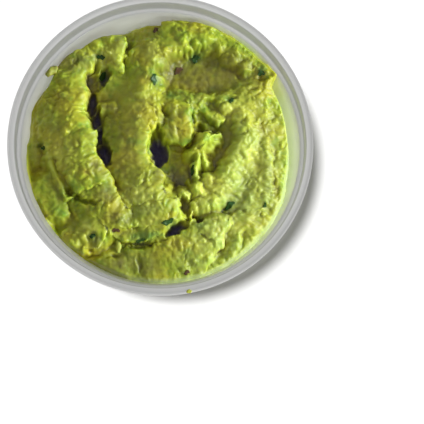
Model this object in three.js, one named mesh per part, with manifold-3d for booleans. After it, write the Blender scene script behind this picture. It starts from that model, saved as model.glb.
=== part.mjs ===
// A round deli tub of spooned guacamole: a tapered tub with a beaded rim and a stacking ledge,
// and the thick paste in it, folded over itself, with a spoon's scoop, deep creases and a thin fin.
// Millimetres, +Z up. The origin is the middle of the tub's foot.

import * as THREE from 'three';
import { mergeVertices } from 'three/addons/utils/BufferGeometryUtils.js';
import Module from 'manifold-3d';

const wasm = await Module();
wasm.setup();

// ---- driving dimensions -------------------------------------------------------------------

const tub = {
  height: 46,
  rimRadius: 58.5, // outside of the bead
  beadRadius: 0.8, // half the width of the rolled bead
  skirtDepth: 2.8, // from the top down to the bead's lower lip
  ledgeHeight: 38.5, // the shelf that a stacked tub sits on
  ledgeOuter: 55.9,
  ledgeInner: 53.9,
  taper: THREE.MathUtils.degToRad(8.5), // lean of the wall below the ledge
  wall: 0.9,
  floor: 1.8, // inside of the base
  footInner: 41,
  footRecess: 0.8, // how far the middle of the base is raised
  corner: 3.2, // inside radius between wall and base
  segments: 64,
};

const paste = {
  gap: 0.3, // clearance to the tub
  cells: 64, // grid cells across the top
  edgeBlend: 2.6, // width over which the top runs into its line on the wall
  blend: 0.6, // rounding where two folds meet
  steep: 2.8, // slope of a fold's front
  top: 41.4, // nothing stands higher
  base: { middle: 27, edge: 24 }, // level that the folds lie on
  lumps: [
    { size: 6.5, height: 1.1, seed: 3 },
    { size: 3.6, height: 0.8, seed: 11 },
  ],
};

const wallRadius = (z) => tub.ledgeInner - (tub.ledgeHeight - z) * Math.tan(tub.taper);

// ---- folds of the paste -------------------------------------------------------------------
// A fold has an edge, with a steep front on the right of it as it runs from its first point to its
// last, and a long back on the left. The back first rises by the shoulder, then loses the fall over
// its width. lean is how far the edge hangs over its front, and ending how steeply the fold falls
// past its two ends.

const folds = {
  bigLeft: {
    edge: [[-11.5, -24, 33.5], [-17, -17, 35], [-18, -12, 36.5], [-25, -1.5, 39], [-25, 5, 39.5],
      [-28, 12.5, 39], [-26.5, 21, 38], [-29.5, 27, 36.5], [-29, 30, 36], [-26.5, 32, 36]],
    back: 18, fall: 8.5, shoulder: 3, lean: 1.1,
  },
  tongueLeft: {
    edge: [[-43.5, -1.5, 32], [-34, -17, 34], [-26, -21, 33.5], [-20, -26.5, 32]],
    back: 12, fall: 0, shoulder: 1.8, lean: 0.7,
  },
  centreRidge: {
    edge: [[6, -20, 36.5], [2.5, -17.5, 37], [1, -14.5, 38], [1, -11, 38], [-4.5, -4.5, 39],
      [-5.5, -1.5, 39], [-4, 8, 40], [-2, 11, 40]],
    back: 17, fall: 9, shoulder: 2.8, lean: 1.3, ending: 0.35,
  },
  tailSide: {
    edge: [[1, -31, 32], [7, -25.5, 33.5], [8, -22.5, 34], [6, -20, 35]],
    back: 6, fall: 1, shoulder: 1.4, lean: 1,
  },
  tailLobe: {
    edge: [[-12, -19, 34.5], [-10.5, -22, 35], [2.5, -21.5, 36.5]],
    back: 8, fall: 0, shoulder: 1.6, lean: 0.9,
  },
  foldTail: {
    edge: [[-20.5, -25.5, 32], [-17, -26.5, 33], [-11, -22.5, 34]],
    back: 9, fall: 2, shoulder: 1.2, lean: 0.8,
  },
  shelfUpper: {
    edge: [[-23.5, -27.5, 31.5], [-19, -30.5, 32], [-13, -31, 32.5], [-0.5, -30.5, 33], [3.5, -29, 33.5]],
    back: 7, fall: 1, shoulder: 1, lean: 0.6,
  },
  shelfLower: {
    edge: [[-21.5, -33.5, 29], [-16.5, -35.5, 29.5], [-6, -36, 30], [-1, -34.5, 30.5], [10, -27.5, 32.5]],
    back: 6, fall: 1, shoulder: 1, lean: 1.2,
  },
  lowerTop: {
    edge: [[12, -29.5, 33], [-1, -36.5, 30], [-13, -37, 27.5]],
    back: 14, fall: 4, shoulder: 1, lean: 0.4,
  },
  lowerFold: {
    edge: [[16, -50, 26.5], [24, -38, 32], [25, -31.5, 33.5], [26.5, -29, 34], [25.5, -26, 34]],
    back: 15, fall: 5, shoulder: 3.2, lean: 0.4,
  },
  leftStreak: {
    edge: [[-36, -25, 29.5], [-37, -17.5, 30.5], [-42.5, -8, 30.5]],
    back: 12, fall: 2, shoulder: 0.8, lean: 0.2,
  },
  clump: {
    edge: [[-24.5, -37.5, 30], [-21, -32.5, 32], [-24.5, -26, 31.5]],
    back: 8, fall: 3, shoulder: 1.5, lean: 1.2,
  },
  clumpFoot: {
    edge: [[-41, -34, 27], [-37, -38, 27.5], [-32.5, -39, 28], [-24.5, -37.5, 30]],
    back: 9, fall: 2, shoulder: 1.3, lean: 1,
  },
  topLeftLobe: {
    edge: [[-21, 32.5, 35], [-15.5, 29.5, 36.5], [-13, 41, 38]],
    back: 9, fall: 4, shoulder: 1.6, lean: 0.8,
  },
  topMiddle: {
    edge: [[-4.5, 42.5, 37], [-9.5, 40.5, 36.5], [-14, 35.5, 36]],
    back: 12, fall: 0, shoulder: 0.8, lean: 0.1,
  },
  topStep: {
    edge: [[0, 51, 37], [0, 44, 37.5]],
    back: 12, fall: 1, shoulder: 1, lean: 0.6,
  },
  middleLobe: {
    edge: [[8, 2, 36.5], [11.5, 3, 37], [13, 6, 37.5], [11.5, 17.5, 39]],
    back: 12, fall: 3, shoulder: 2, lean: 0.9,
  },
  middleFoot: {
    edge: [[-1, 4, 36], [11.5, 2.5, 37]],
    back: 12, fall: -2, shoulder: 2, lean: 0.9,
  },
  lip: {
    edge: [[15, 14.5, 38], [19, 10.5, 38.5], [22, 9, 38.5], [24, 10, 38]],
    back: 4, fall: 2, shoulder: 0.8, lean: 0.5,
  },
  outerRidge: {
    edge: [[40, -24.5, 29.5], [43.5, -15, 32], [44, -10, 33], [42.5, 5, 34]],
    back: 5, fall: 2.2, shoulder: 2.2, lean: 0.3,
  },
};

// A ridge is a crest line that falls away over its widths to the left and right.
const ridges = {
  rightRidge: {
    crest: [[20, -21, 34], [24.5, -10, 36.5], [33.5, 7.5, 38.5], [33, 11.5, 38.5], [31, 15.5, 38.5]],
    left: 3.6, right: 8, drop: 5,
  },
  topBack: {
    crest: [[-1, 46, 31], [-11, 45, 30.5]],
    left: 5, right: 5, drop: 5,
  },
  plateauTop: {
    crest: [[-18, 27.5, 35.5], [-11.5, 20.5, 36.5], [-10.5, 15, 37]],
    left: 12, right: 8, drop: 2.5,
  },
  underTongue: {
    crest: [[-34, -24, 28.5], [-25.5, -27.5, 29.5]],
    left: 6, right: 6, drop: 2,
  },
  rightBack: {
    crest: [[34, 17, 38], [38, 15, 37.5], [40.5, 10.5, 36], [41.5, 5, 34.5]],
    left: 7, right: 9, drop: 4,
  },
  centreTop: {
    crest: [[-3.5, 10, 40], [-2.5, 15, 40.5], [-4.5, 26, 40.5], [-3, 31, 40]],
    left: 8, right: 5, drop: 4,
  },
  scoopFarRim: {
    crest: [[41, 23.5, 38], [31, 19, 38.5], [11.5, 17.5, 39], [5, 15, 40]],
    left: 7, right: 8, drop: 4,
  },
  scoopEnd: {
    crest: [[45, 28.5, 37], [40, 23.5, 37.5], [39.5, 19.5, 37.5]],
    left: 4, right: 5, drop: 4,
  },
  scoopBed: {
    crest: [[1, 29, 30.5], [30.5, 30.5, 35], [38.5, 29.5, 36]],
    left: 10, right: 10, drop: 0.6,
  },
  finBed: {
    crest: [[6.5, 1, 30.5], [10, -8.5, 29]],
    left: 4.5, right: 9, drop: 1.2,
  },
  valleyBed: {
    crest: [[28.5, -24, 31.5], [34, -17.5, 32], [38.5, -10, 33]],
    left: 6, right: 6, drop: 1,
  },
  crown: {
    crest: [[-2.5, 31, 40], [9, 43, 40], [17, 45, 39.5], [20, 43, 39]],
    left: 9, right: 4, drop: 4,
  },
  crownRight: {
    crest: [[20, 42, 38.5], [43.5, 28.5, 37]],
    left: 8, right: 5, drop: 3,
  },
  fin: {
    crest: [[11.5, -2, 36.5], [17.5, 4, 41]],
    left: 2.6, right: 2.8, drop: 3.5,
  },
  finTip: {
    crest: [[16.5, 2, 40], [21.5, 4.5, 40]],
    left: 1.5, right: 1.8, drop: 3.5,
  },
  finFoot: {
    crest: [[13.5, -3.5, 36], [18, 1, 40]],
    left: 2.3, right: 2.3, drop: 3.5,
  },
  ribLeft: {
    crest: [[14.5, -2, 38], [14, -11.5, 34.5]],
    left: 1.5, right: 1.8, drop: 3,
  },
  ribRight: {
    crest: [[16.5, -1.5, 38], [18, -6.5, 34.5]],
    left: 1.8, right: 1.8, drop: 3,
  },
  stem: {
    crest: [[14, -14, 33.5], [19.5, -21, 35]],
    left: 5, right: 4, drop: 4,
  },
  lowerStreak: {
    crest: [[-0.5, -36, 30.5], [9.5, -46.5, 29]],
    left: 3, right: 2, drop: 3,
  },
  lowerRib: {
    crest: [[13, -37.5, 32.5], [14.5, -46, 29.5]],
    left: 2.5, right: 2.5, drop: 2,
  },
  strand: {
    crest: [[10.5, -23.5, 34.5], [12, -29.5, 33.5]],
    left: 0.8, right: 0.9, drop: 4,
  },
  leftBand: {
    crest: [[-50, 0.5, 29], [-50.5, 10.5, 30.5], [-46, 21, 32.5], [-39, 31, 34.5], [-30, 39, 36],
      [-22, 41.5, 37]],
    left: 6, right: 9, drop: 4,
  },
  farRight: {
    crest: [[30.5, -25.5, 32], [34.5, -28.5, 31.5], [37, -32, 30], [34.5, -38, 28]],
    left: 4, right: 5, drop: 2.5,
  },
  farRightLow: {
    crest: [[29, -31, 31.5], [29.5, -37, 30], [27, -42.5, 28.5]],
    left: 9, right: 6, drop: 2.5,
  },
  farRightLowest: {
    crest: [[23.5, -43.5, 27.5], [19, -48.5, 27]],
    left: 7, right: 6, drop: 2,
  },
  lowerMass: {
    crest: [[-12, -43.5, 27.5], [11.5, -48.5, 27.5]],
    left: 12, right: 8, drop: 4,
  },
  bottomMass: {
    crest: [[-27.5, -41, 26], [-15, -43.5, 28]],
    left: 8, right: 8, drop: 4,
  },
};

// Round lumps: [x, y, height of the top, radius, how far it stands out]
const mounds = [
  [1, 34, 41.3, 3.6, 2.5], [3, 38, 41, 2.6, 3], [8.5, 42, 41, 3.6, 3.2], [16.5, 43.5, 40.6, 3.6, 3],
    [29, 37, 39, 4, 2], [33.5, 32.5, 38.8, 3, 1.8], [-6, 23.5, 41, 3, 1.8], [-6.5, 20.5, 41, 3, 2],
    [-2, 14.5, 41, 3.5, 2], [9, 16, 40.2, 3, 2], [4.5, 14, 40.2, 2.6, 2], [9, 11, 39.6, 3, 1.8],
    [6, 9, 38.6, 3.4, 1.6], [-32, -5.5, 38, 2.6, 1.2], [-6, -17, 38, 3, 2.2], [-2, -18.5, 37.8, 3, 1.8],
    [-18.5, 16, 36.8, 2.6, 1.4], [31.5, 13.5, 39.4, 3.5, 2], [33, 8.5, 39.3, 3, 1.6],
    [38, 19.5, 38.4, 4, 2], [14.5, -16, 36, 2.6, 2], [16.5, -22, 35.8, 3, 1.8], [40, -9, 33.8, 2.6, 1.8],
    [39.5, -14.5, 33, 3, 2], [40, -22, 31, 3.4, 2], [38, -26.5, 30, 3, 2], [33, -30, 30.6, 3, 1.8],
    [35.5, -34.5, 28.6, 2.6, 1.6], [-17, 38, 38.4, 3, 1.8], [-17.5, 31.5, 37.8, 2.8, 2],
    [-27.5, -31, 32.2, 3, 1.8], [-23, -32, 33, 2.8, 2], [-30, -34, 31, 2.6, 1.6], [-37, -1, 36, 4, 1.2],
    [21, -33, 34.2, 2.6, 1.4], [-33, 15.5, 38.2, 3, 1.6], [-34.5, 7.5, 38, 3, 1.2],
    [-42, 25, 34.8, 2.6, 1.6], [-25.5, 41, 37, 2.6, 1.4], [-36, 36.5, 35.2, 2.6, 1.4],
    [19, -12.5, 36, 2.6, 2], [29, -5, 37.6, 2.6, 1.4], [32, -0.5, 38.2, 2.6, 1.4],
];

// Where the paste opens into pockets under its folds: middle, floor height, half widths and turn.
const pockets = [
  { at: [-26, 26.5], floor: 30.5, half: [4.4, 4.6], turn: 0.3 },
  { at: [-22.5, 28.5], floor: 29.5, half: [2.6, 3.8], turn: 0 },
  { at: [-25, 18], floor: 27, half: [1.9, 5], turn: 0 },
  { at: [-25.5, 12], floor: 26, half: [1.9, 4], turn: -0.3 },
  { at: [-24, 6], floor: 27, half: [1.9, 4], turn: 0 },
  { at: [-22, -1.5], floor: 25, half: [2.2, 4.6], turn: 0.15 },
  { at: [-0.5, 0], floor: 25, half: [2.5, 5], turn: 0.05 },
  { at: [-1.5, 6], floor: 33, half: [1.9, 3], turn: -0.2 },
  { at: [4, -15.5], floor: 27, half: [2.5, 4.8], turn: 0.5 },
  { at: [9, -22.5], floor: 29, half: [1.9, 3.4], turn: 0.1 },
  { at: [6, -31.5], floor: 25, half: [4.6, 1.9], turn: 0.5 },
  { at: [15, -28], floor: 28, half: [1.9, 1.9], turn: 0 },
  { at: [15, 8], floor: 31, half: [2.3, 2.4], turn: 0 },
  { at: [20, 6.5], floor: 33.5, half: [4, 1.9], turn: -0.25 },
];

// Wide, smooth hollows: the spoon's scoop and the one to the right of the fin. tilt is how much the
// floor rises towards +X.
const bowls = [
  { at: [19.5, 30], floor: 33.6, half: [19.4, 9], turn: -0.03, depth: 5, power: 4, tilt: 0.16 },
  { at: [24, -1], floor: 32.5, half: [5, 9], turn: -0.42, depth: 5, power: 2.2, tilt: 0 },
];

// Creases pressed into the surface.
const grooves = [
  { line: [[-26.5, 32], [-29, 30], [-29.5, 27.5], [-29, 24.5], [-27, 22]], width: 1.6, depth: 1.6 },
  {
    line: [[-41.5, -5], [-39, -9], [-37, -13], [-35, -16.5], [-32.5, -19], [-29, -20.5], [-25.5, -22]],
    width: 1.6,
    depth: 2.4,
  },
  { line: [[23.5, -25.5], [27.5, -24.5], [31.5, -24]], width: 1.6, depth: 1.8 },
  { line: [[1, 15], [2.5, 12]], width: 1.6, depth: 1.6 },
];

// Where a spoon has smoothed the paste, so that its lumps are low.
const calm = [
  { at: [18, 29.5], half: [17, 6.5], turn: 0, least: 0.1 },
  { at: [-13, 22], half: [9, 8], turn: 0.3, least: 0.35 },
  { at: [-42, -19], half: [7, 14], turn: 0.3, least: 0.4 },
  { at: [-12, -44], half: [20, 6.5], turn: -0.12, least: 0.35 },
  { at: [24, -2], half: [5, 9], turn: -0.3, least: 0.4 },
];

// Height of the paste's line on the wall, by compass angle in degrees from +X.
const wallLine = [
  [0, 20.8], [29, 20.4], [32.5, 37], [36, 37], [42, 34], [67, 34.7], [85, 32], [93, 21.5], [100, 24.5],
  [109, 19], [119, 27], [127, 25.5], [134, 32], [140, 31.6], [149, 26], [163, 31.4], [174, 26.3], [187, 31.5],
  [210, 28], [222, 27], [244, 21.5], [275, 25], [314, 25], [327, 27], [339, 25], [349, 21.2], [360, 20.8],
];

// Toppings that lie in the paste's surface: [x, y, turn, length, width]
const herbFlakes = [
  [-23, 30, 0.6, 3.6, 2.2], [-2.5, 26.5, 1.4, 4.6, 2], [14, 36.5, 1.1, 3.6, 2.2],
  [-23.5, 36.5, 0.1, 3.4, 1.6], [12.5, -7.5, 1.5, 5.4, 1.8], [2.5, -29, 0.3, 5, 1.8],
  [27.5, 18.5, 0.4, 2.6, 1.6], [27, -22, 0.5, 4.6, 2], [39.5, 29.5, 0.2, 3, 1.8], [-26.5, -34, 1, 2.4, 1.8],
];
const redBits = [
  [-2, 47.5, 0.6, 2.8, 1.8], [7, 32, 0.5, 4, 2], [-17.5, -32, 0.1, 3.4, 1.2], [10, -48, 1.2, 2.2, 1.6],
];
const flakeShape = { thickness: 0.7, sides: 8, wave: 0.25, sink: 0.1 };
const stalk = { at: [-16.7, -37], length: 6.4, radius: 1.1, rise: 0.5 };

// ---- small helpers ------------------------------------------------------------------------

const arc = (cx, cy, r, from, to, steps) =>
  Array.from({ length: steps + 1 }, (_, i) => {
    const a = THREE.MathUtils.degToRad(from + ((to - from) * i) / steps);
    return [cx + r * Math.cos(a), cy + r * Math.sin(a)];
  });

const smoothMax = (a, b, k) => 0.5 * (a + b + Math.hypot(a - b, k));
const smoothMin = (a, b, k) => 0.5 * (a + b - Math.hypot(a - b, k));
const fraction = (v) => v - Math.floor(v);
const noise = (i, j, seed) => fraction(Math.sin(i * 127.1 + j * 311.7 + seed * 74.7) * 43758.5453);

const material = (color, roughness) => new THREE.MeshStandardMaterial({ color, roughness, metalness: 0 });

// ---- the tub ------------------------------------------------------------------------------

function tubGeometry() {
  const { height, rimRadius, beadRadius, wall, floor, corner, ledgeHeight, ledgeInner, ledgeOuter } = tub;
  const beadMiddle = rimRadius - beadRadius;
  const lip = height - tub.skirtDepth;
  const footOuter = wallRadius(0) - 1.4;
  const cornerMiddle = wallRadius(floor + corner) - corner;
  const profile = [
    [0, tub.footRecess],
    [tub.footInner, tub.footRecess],
    [tub.footInner + 1, 0],
    [footOuter, 0],
    ...arc(footOuter, 2.4, 2.4, -60, -10, 2),
    [wallRadius(ledgeHeight - 2) + wall, ledgeHeight - 2],
    [ledgeInner + wall + 0.4, ledgeHeight - wall],
    [ledgeOuter + wall - 0.4, ledgeHeight - wall + 0.1],
    [ledgeOuter + wall, ledgeHeight],
    [ledgeOuter + wall + 0.7, lip],
    [rimRadius - 0.3, lip],
    [rimRadius, lip + 0.3],
    ...arc(beadMiddle, height - beadRadius, beadRadius, 0, 180, 4),
    [ledgeOuter + 0.1, ledgeHeight + 0.6],
    [ledgeOuter - 0.3, ledgeHeight],
    [ledgeInner + 0.3, ledgeHeight],
    [wallRadius(ledgeHeight - 0.6), ledgeHeight - 0.6],
    ...arc(cornerMiddle, floor + corner, corner, -tub.taper * 10, -90, 3),
    [0, floor],
  ].map(([r, z]) => new THREE.Vector2(r, z));
  return new THREE.LatheGeometry(profile, tub.segments).rotateX(Math.PI / 2);
}

// ---- the paste's top surface --------------------------------------------------------------

function smoothLine(points) {
  const corners = points.map(([x, y, z = 0]) => new THREE.Vector3(x, y, z));
  return new THREE.CatmullRomCurve3(corners, false, 'catmullrom', 0.5).getPoints(points.length * 4);
}

// A fold's line before it leans over, so that the leaned edge comes to lie on its named points.
function edgeLine({ edge, lean }) {
  const line = smoothLine(edge);
  return line.map((p, k) => {
    const next = line[Math.min(k + 1, line.length - 1)];
    const along = next.clone().sub(line[Math.max(k - 1, 0)]).setZ(0).normalize();
    return new THREE.Vector3(p.x - lean * along.y, p.y + lean * along.x, p.z);
  });
}

const foldLines = Object.values(folds).map((fold) => ({ ...fold, line: edgeLine(fold) }));
const ridgeLines = Object.values(ridges).map((ridge) => ({ ...ridge, line: smoothLine(ridge.crest) }));
const grooveLines = grooves.map((groove) => ({ ...groove, line: smoothLine(groove.line) }));

// Nearest place on a line: its height, the distance to it, the side, from 1 on the right to -1 on the
// left, and how far the point lies past one of the line's two ends.
function nearestOnLine(line, x, y) {
  let best = { distance: Infinity };
  for (let i = 1; i < line.length; i++) {
    const a = line[i - 1];
    const dx = line[i].x - a.x;
    const dy = line[i].y - a.y;
    const span = Math.hypot(dx, dy);
    const along = ((x - a.x) * dx + (y - a.y) * dy) / (span * span);
    const t = THREE.MathUtils.clamp(along, 0, 1);
    const px = x - a.x - t * dx;
    const py = y - a.y - t * dy;
    const distance = Math.hypot(px, py);
    if (distance < best.distance) {
      const past = (i === 1 && along < 0) || (i === line.length - 1 && along > 1);
      best = {
        distance,
        height: a.z + t * (line[i].z - a.z),
        side: (px * dy - py * dx) / (span * Math.max(distance, 1e-6)),
        normal: [dy / span, -dx / span],
        beyond: past ? Math.abs(along - t) * span : 0,
      };
    }
  }
  return best;
}

function foldHeight({ back, fall, shoulder, ending = 1.3 }, { distance, height, side, beyond }) {
  const share = THREE.MathUtils.smoothstep(side, -0.5, 0.5);
  const rise = shoulder * (1 - Math.exp(-distance / (0.9 * shoulder)));
  const behind = height + rise - fall * (distance / back) ** 1.5 - 1.2 * Math.max(0, distance - back);
  return (height - paste.steep * distance) * share + behind * (1 - share) - ending * beyond;
}

function ridgeHeight({ left, right, drop }, { distance, height, side }) {
  const width = left + (right - left) * (0.5 + 0.5 * side);
  return height - drop * (distance / width) ** 1.7;
}

// Smooth noise from about -1 to 1.
function waves(x, y, seed) {
  const [i, j] = [Math.floor(x), Math.floor(y)];
  const [u, v] = [x - i, y - j];
  const corner = (di, dj) => {
    const turn = noise(i + di, j + dj, seed) * 2 * Math.PI;
    return Math.cos(turn) * (u - di) + Math.sin(turn) * (v - dj);
  };
  const [su, sv] = [THREE.MathUtils.smootherstep(u, 0, 1), THREE.MathUtils.smootherstep(v, 0, 1)];
  const low = corner(0, 0) * (1 - su) + corner(1, 0) * su;
  const high = corner(0, 1) * (1 - su) + corner(1, 1) * su;
  return 1.5 * (low * (1 - sv) + high * sv);
}

// Rounded lumps with creases between them.
const mash = (x, y) =>
  paste.lumps.reduce((sum, { size, height, seed }) =>
    sum + height * (Math.hypot(waves(x / size, y / size, seed), 0.11) - 0.32), 0);

function bowlDistance({ at, half, turn }, x, y) {
  const dx = x - at[0];
  const dy = y - at[1];
  const u = (dx * Math.cos(turn) + dy * Math.sin(turn)) / half[0];
  const v = (dy * Math.cos(turn) - dx * Math.sin(turn)) / half[1];
  return Math.hypot(u, v);
}

function wallLineHeight(x, y) {
  const angle = (THREE.MathUtils.radToDeg(Math.atan2(y, x)) + 360) % 360;
  const next = wallLine.findIndex(([a]) => a > angle);
  const [a0, z0] = wallLine[next - 1];
  const [a1, z1] = wallLine[next];
  return z0 + (z1 - z0) * THREE.MathUtils.smoothstep(angle, a0, a1);
}

// Height of the folded and spooned paste over (x, y), and the folds that lean there.
function relief(x, y, reach) {
  let z = paste.base.middle + (paste.base.edge - paste.base.middle) * reach * reach;
  const leaning = [];
  for (const fold of foldLines) {
    const near = nearestOnLine(fold.line, x, y);
    const height = foldHeight(fold, near);
    z = smoothMax(z, height, paste.blend);
    leaning.push({ fold, near, height });
  }
  for (const ridge of ridgeLines) {
    z = smoothMax(z, ridgeHeight(ridge, nearestOnLine(ridge.line, x, y)), paste.blend);
  }
  for (const bowl of bowls) {
    const floor = bowl.floor + bowl.tilt * (x - bowl.at[0]);
    z = smoothMin(z, floor + bowl.depth * bowlDistance(bowl, x, y) ** bowl.power, 1);
  }
  for (const [mx, my, top, radius, rise] of mounds) {
    z = smoothMax(z, top - rise * (Math.hypot(x - mx, y - my) / radius) ** 2.2, paste.blend);
  }
  for (const pocket of pockets) {
    z = smoothMin(z, pocket.floor + 5 * bowlDistance(pocket, x, y) ** 2, paste.blend);
  }
  for (const { line, width, depth } of grooveLines) {
    z -= depth * Math.exp(-((nearestOnLine(line, x, y).distance / width) ** 2));
  }
  const rough = calm.reduce((least, area) => {
    const share = THREE.MathUtils.smoothstep(bowlDistance(area, x, y), 0.75, 1.25);
    return Math.min(least, area.least + (1 - area.least) * share);
  }, 1);
  return { z: smoothMin(z + mash(x, y) * rough, paste.top, paste.blend), leaning };
}

// The surface point over (x, y): its height, and where the lean of the folds carries it.
function surfacePoint(x, y, edgeRadius) {
  const reach = Math.hypot(x, y) / edgeRadius;
  const { z, leaning } = relief(x, y, reach);
  const shift = [0, 0];
  for (const { fold, near, height } of leaning) {
    const grip = 1 - THREE.MathUtils.smoothstep(near.distance, 0, near.side > 0 ? 1.8 : 3.5);
    const covered = Math.exp(-Math.max(0, z - height - 1));
    shift[0] += near.normal[0] * fold.lean * grip * covered;
    shift[1] += near.normal[1] * fold.lean * grip * covered;
  }
  const rim = THREE.MathUtils.smoothstep((1 - reach) * edgeRadius, 0, paste.edgeBlend);
  const line = wallLineHeight(x, y);
  return [x + shift[0] * rim, y + shift[1] * rim, line + (z - line) * rim];
}

// ---- the paste as one closed solid --------------------------------------------------------

// A square grid pressed into a round one, so that its cells stay nearly equal.
function squareToDisc(a, b) {
  if (a === 0 && b === 0) return [0, 0];
  const wide = Math.abs(a) > Math.abs(b);
  const r = wide ? a : b;
  const turn = wide ? (Math.PI / 4) * (b / a) : Math.PI / 2 - (Math.PI / 4) * (a / b);
  return [r * Math.cos(turn), r * Math.sin(turn)];
}

function pasteGeometry() {
  const n = paste.cells;
  const bottom = tub.floor + paste.gap;
  const positions = [];
  const indices = [];

  for (let j = 0; j <= n; j++) {
    for (let i = 0; i <= n; i++) {
      const [u, v] = squareToDisc((2 * i) / n - 1, (2 * j) / n - 1);
      const edgeRadius = wallRadius(wallLineHeight(u, v)) - paste.gap;
      positions.push(...surfacePoint(u * edgeRadius, v * edgeRadius, edgeRadius));
    }
  }
  const at = (i, j) => j * (n + 1) + i;
  for (let j = 0; j < n; j++) {
    for (let i = 0; i < n; i++) {
      const [a, b, c, d] = [at(i, j), at(i + 1, j), at(i + 1, j + 1), at(i, j + 1)];
      // each cell is split along the diagonal that points to the middle
      if (i < n / 2 === j < n / 2) indices.push(a, b, c, a, c, d);
      else indices.push(a, b, d, b, c, d);
    }
  }

  let ring = [];
  for (let i = 0; i < n; i++) ring.push(at(i, 0));
  for (let j = 0; j < n; j++) ring.push(at(n, j));
  for (let i = n; i > 0; i--) ring.push(at(i, n));
  for (let j = n; j > 0; j--) ring.push(at(0, j));

  // down the wall, round the lower corner, then across the base to its middle
  const levels = [
    { radius: wallRadius(bottom + tub.corner) - paste.gap, z: bottom + tub.corner },
    { radius: wallRadius(bottom) - paste.gap - tub.corner * 0.75, z: bottom },
  ];
  for (const { radius, z } of levels) {
    const lower = ring.map((k) => {
      const angle = Math.atan2(positions[3 * k + 1], positions[3 * k]);
      positions.push(radius * Math.cos(angle), radius * Math.sin(angle), z);
      return positions.length / 3 - 1;
    });
    ring.forEach((k, s) => {
      const t = (s + 1) % ring.length;
      indices.push(k, lower[s], lower[t], k, lower[t], ring[t]);
    });
    ring = lower;
  }
  positions.push(0, 0, bottom);
  const middle = positions.length / 3 - 1;
  ring.forEach((k, s) => indices.push(k, middle, ring[(s + 1) % ring.length]));

  const geometry = new THREE.BufferGeometry();
  geometry.setAttribute('position', new THREE.Float32BufferAttribute(positions, 3));
  geometry.setIndex(indices);
  return geometry;
}

// ---- toppings fused to the paste ----------------------------------------------------------

// A thin, wavy flake lying on the surface at (x, y).
function flakeGeometry([x, y, turn, length, width]) {
  const { thickness, sides, wave, sink } = flakeShape;
  const shape = new THREE.Shape();
  for (let s = 0; s < sides; s++) {
    const a = (s / sides) * 2 * Math.PI;
    const uneven = 0.85 + 0.3 * noise(x, y, s);
    shape[s ? 'lineTo' : 'moveTo'](0.5 * length * uneven * Math.cos(a), 0.5 * width * uneven * Math.sin(a));
  }
  const geometry = new THREE.ExtrudeGeometry(shape, { depth: thickness, bevelEnabled: false });
  const position = geometry.attributes.position;
  for (let k = 0; k < position.count; k++) {
    const lift = wave * Math.cos((position.getX(k) * 5) / length);
    position.setZ(k, position.getZ(k) - thickness / 2 + lift);
  }
  const step = 0.8;
  const level = (px, py) => surfacePoint(px, py, tub.ledgeInner)[2];
  const slopeX = level(x - step, y) - level(x + step, y);
  const slopeY = level(x, y - step) - level(x, y + step);
  const out = new THREE.Vector3(slopeX, slopeY, 2 * step).normalize();
  geometry.rotateZ(turn);
  geometry.applyQuaternion(new THREE.Quaternion().setFromUnitVectors(new THREE.Vector3(0, 0, 1), out));
  return geometry.translate(x, y, level(x, y) - sink);
}

// A short length of spring onion standing half out of the paste.
function stalkGeometry() {
  const level = surfacePoint(stalk.at[0], stalk.at[1], tub.ledgeInner)[2];
  return new THREE.CapsuleGeometry(stalk.radius, stalk.length - 2 * stalk.radius, 3, 8)
    .rotateX(THREE.MathUtils.degToRad(12))
    .translate(stalk.at[0], stalk.at[1], level + stalk.rise);
}

function toManifold(source) {
  const bare = source.clone();
  bare.deleteAttribute('normal');
  bare.deleteAttribute('uv');
  const merged = mergeVertices(bare, 1e-4);
  return new wasm.Manifold(new wasm.Mesh({
    numProp: 3,
    vertProperties: Float32Array.from(merged.attributes.position.array),
    triVerts: Uint32Array.from(merged.index.array),
  }));
}

function fromManifold(solid) {
  const mesh = solid.getMesh();
  const geometry = new THREE.BufferGeometry();
  geometry.setAttribute('position', new THREE.BufferAttribute(mesh.vertProperties, 3));
  geometry.setIndex(new THREE.BufferAttribute(mesh.triVerts, 1));
  geometry.computeVertexNormals();
  return geometry;
}

// The outer shell of the joined solid: a hollow that the joining seals is filled, a loose scrap dropped.
const outerShell = (solid) => solid.decompose().reduce((a, b) => (b.volume() > a.volume() ? b : a));

function guacamoleGeometry() {
  const toppings = [...herbFlakes, ...redBits].map(flakeGeometry);
  toppings.push(stalkGeometry());
  const body = toManifold(pasteGeometry());
  return fromManifold(outerShell(toppings.reduce((solid, topping) => solid.add(toManifold(topping)), body)));
}

// ---- the object ---------------------------------------------------------------------------

function piece(name, geometry, look) {
  const mesh = new THREE.Mesh(geometry, look);
  mesh.name = name;
  return mesh;
}

const object = new THREE.Group();
object.add(piece('tub', tubGeometry(), material(0xc3c8c0, 0.35)));
object.add(piece('guacamole', guacamoleGeometry(), material(0x9bab45, 0.6)));

export default object;
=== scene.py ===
import math

import bpy
import numpy as np
from mathutils import Matrix, Vector
from mathutils.bvhtree import BVHTree


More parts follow.
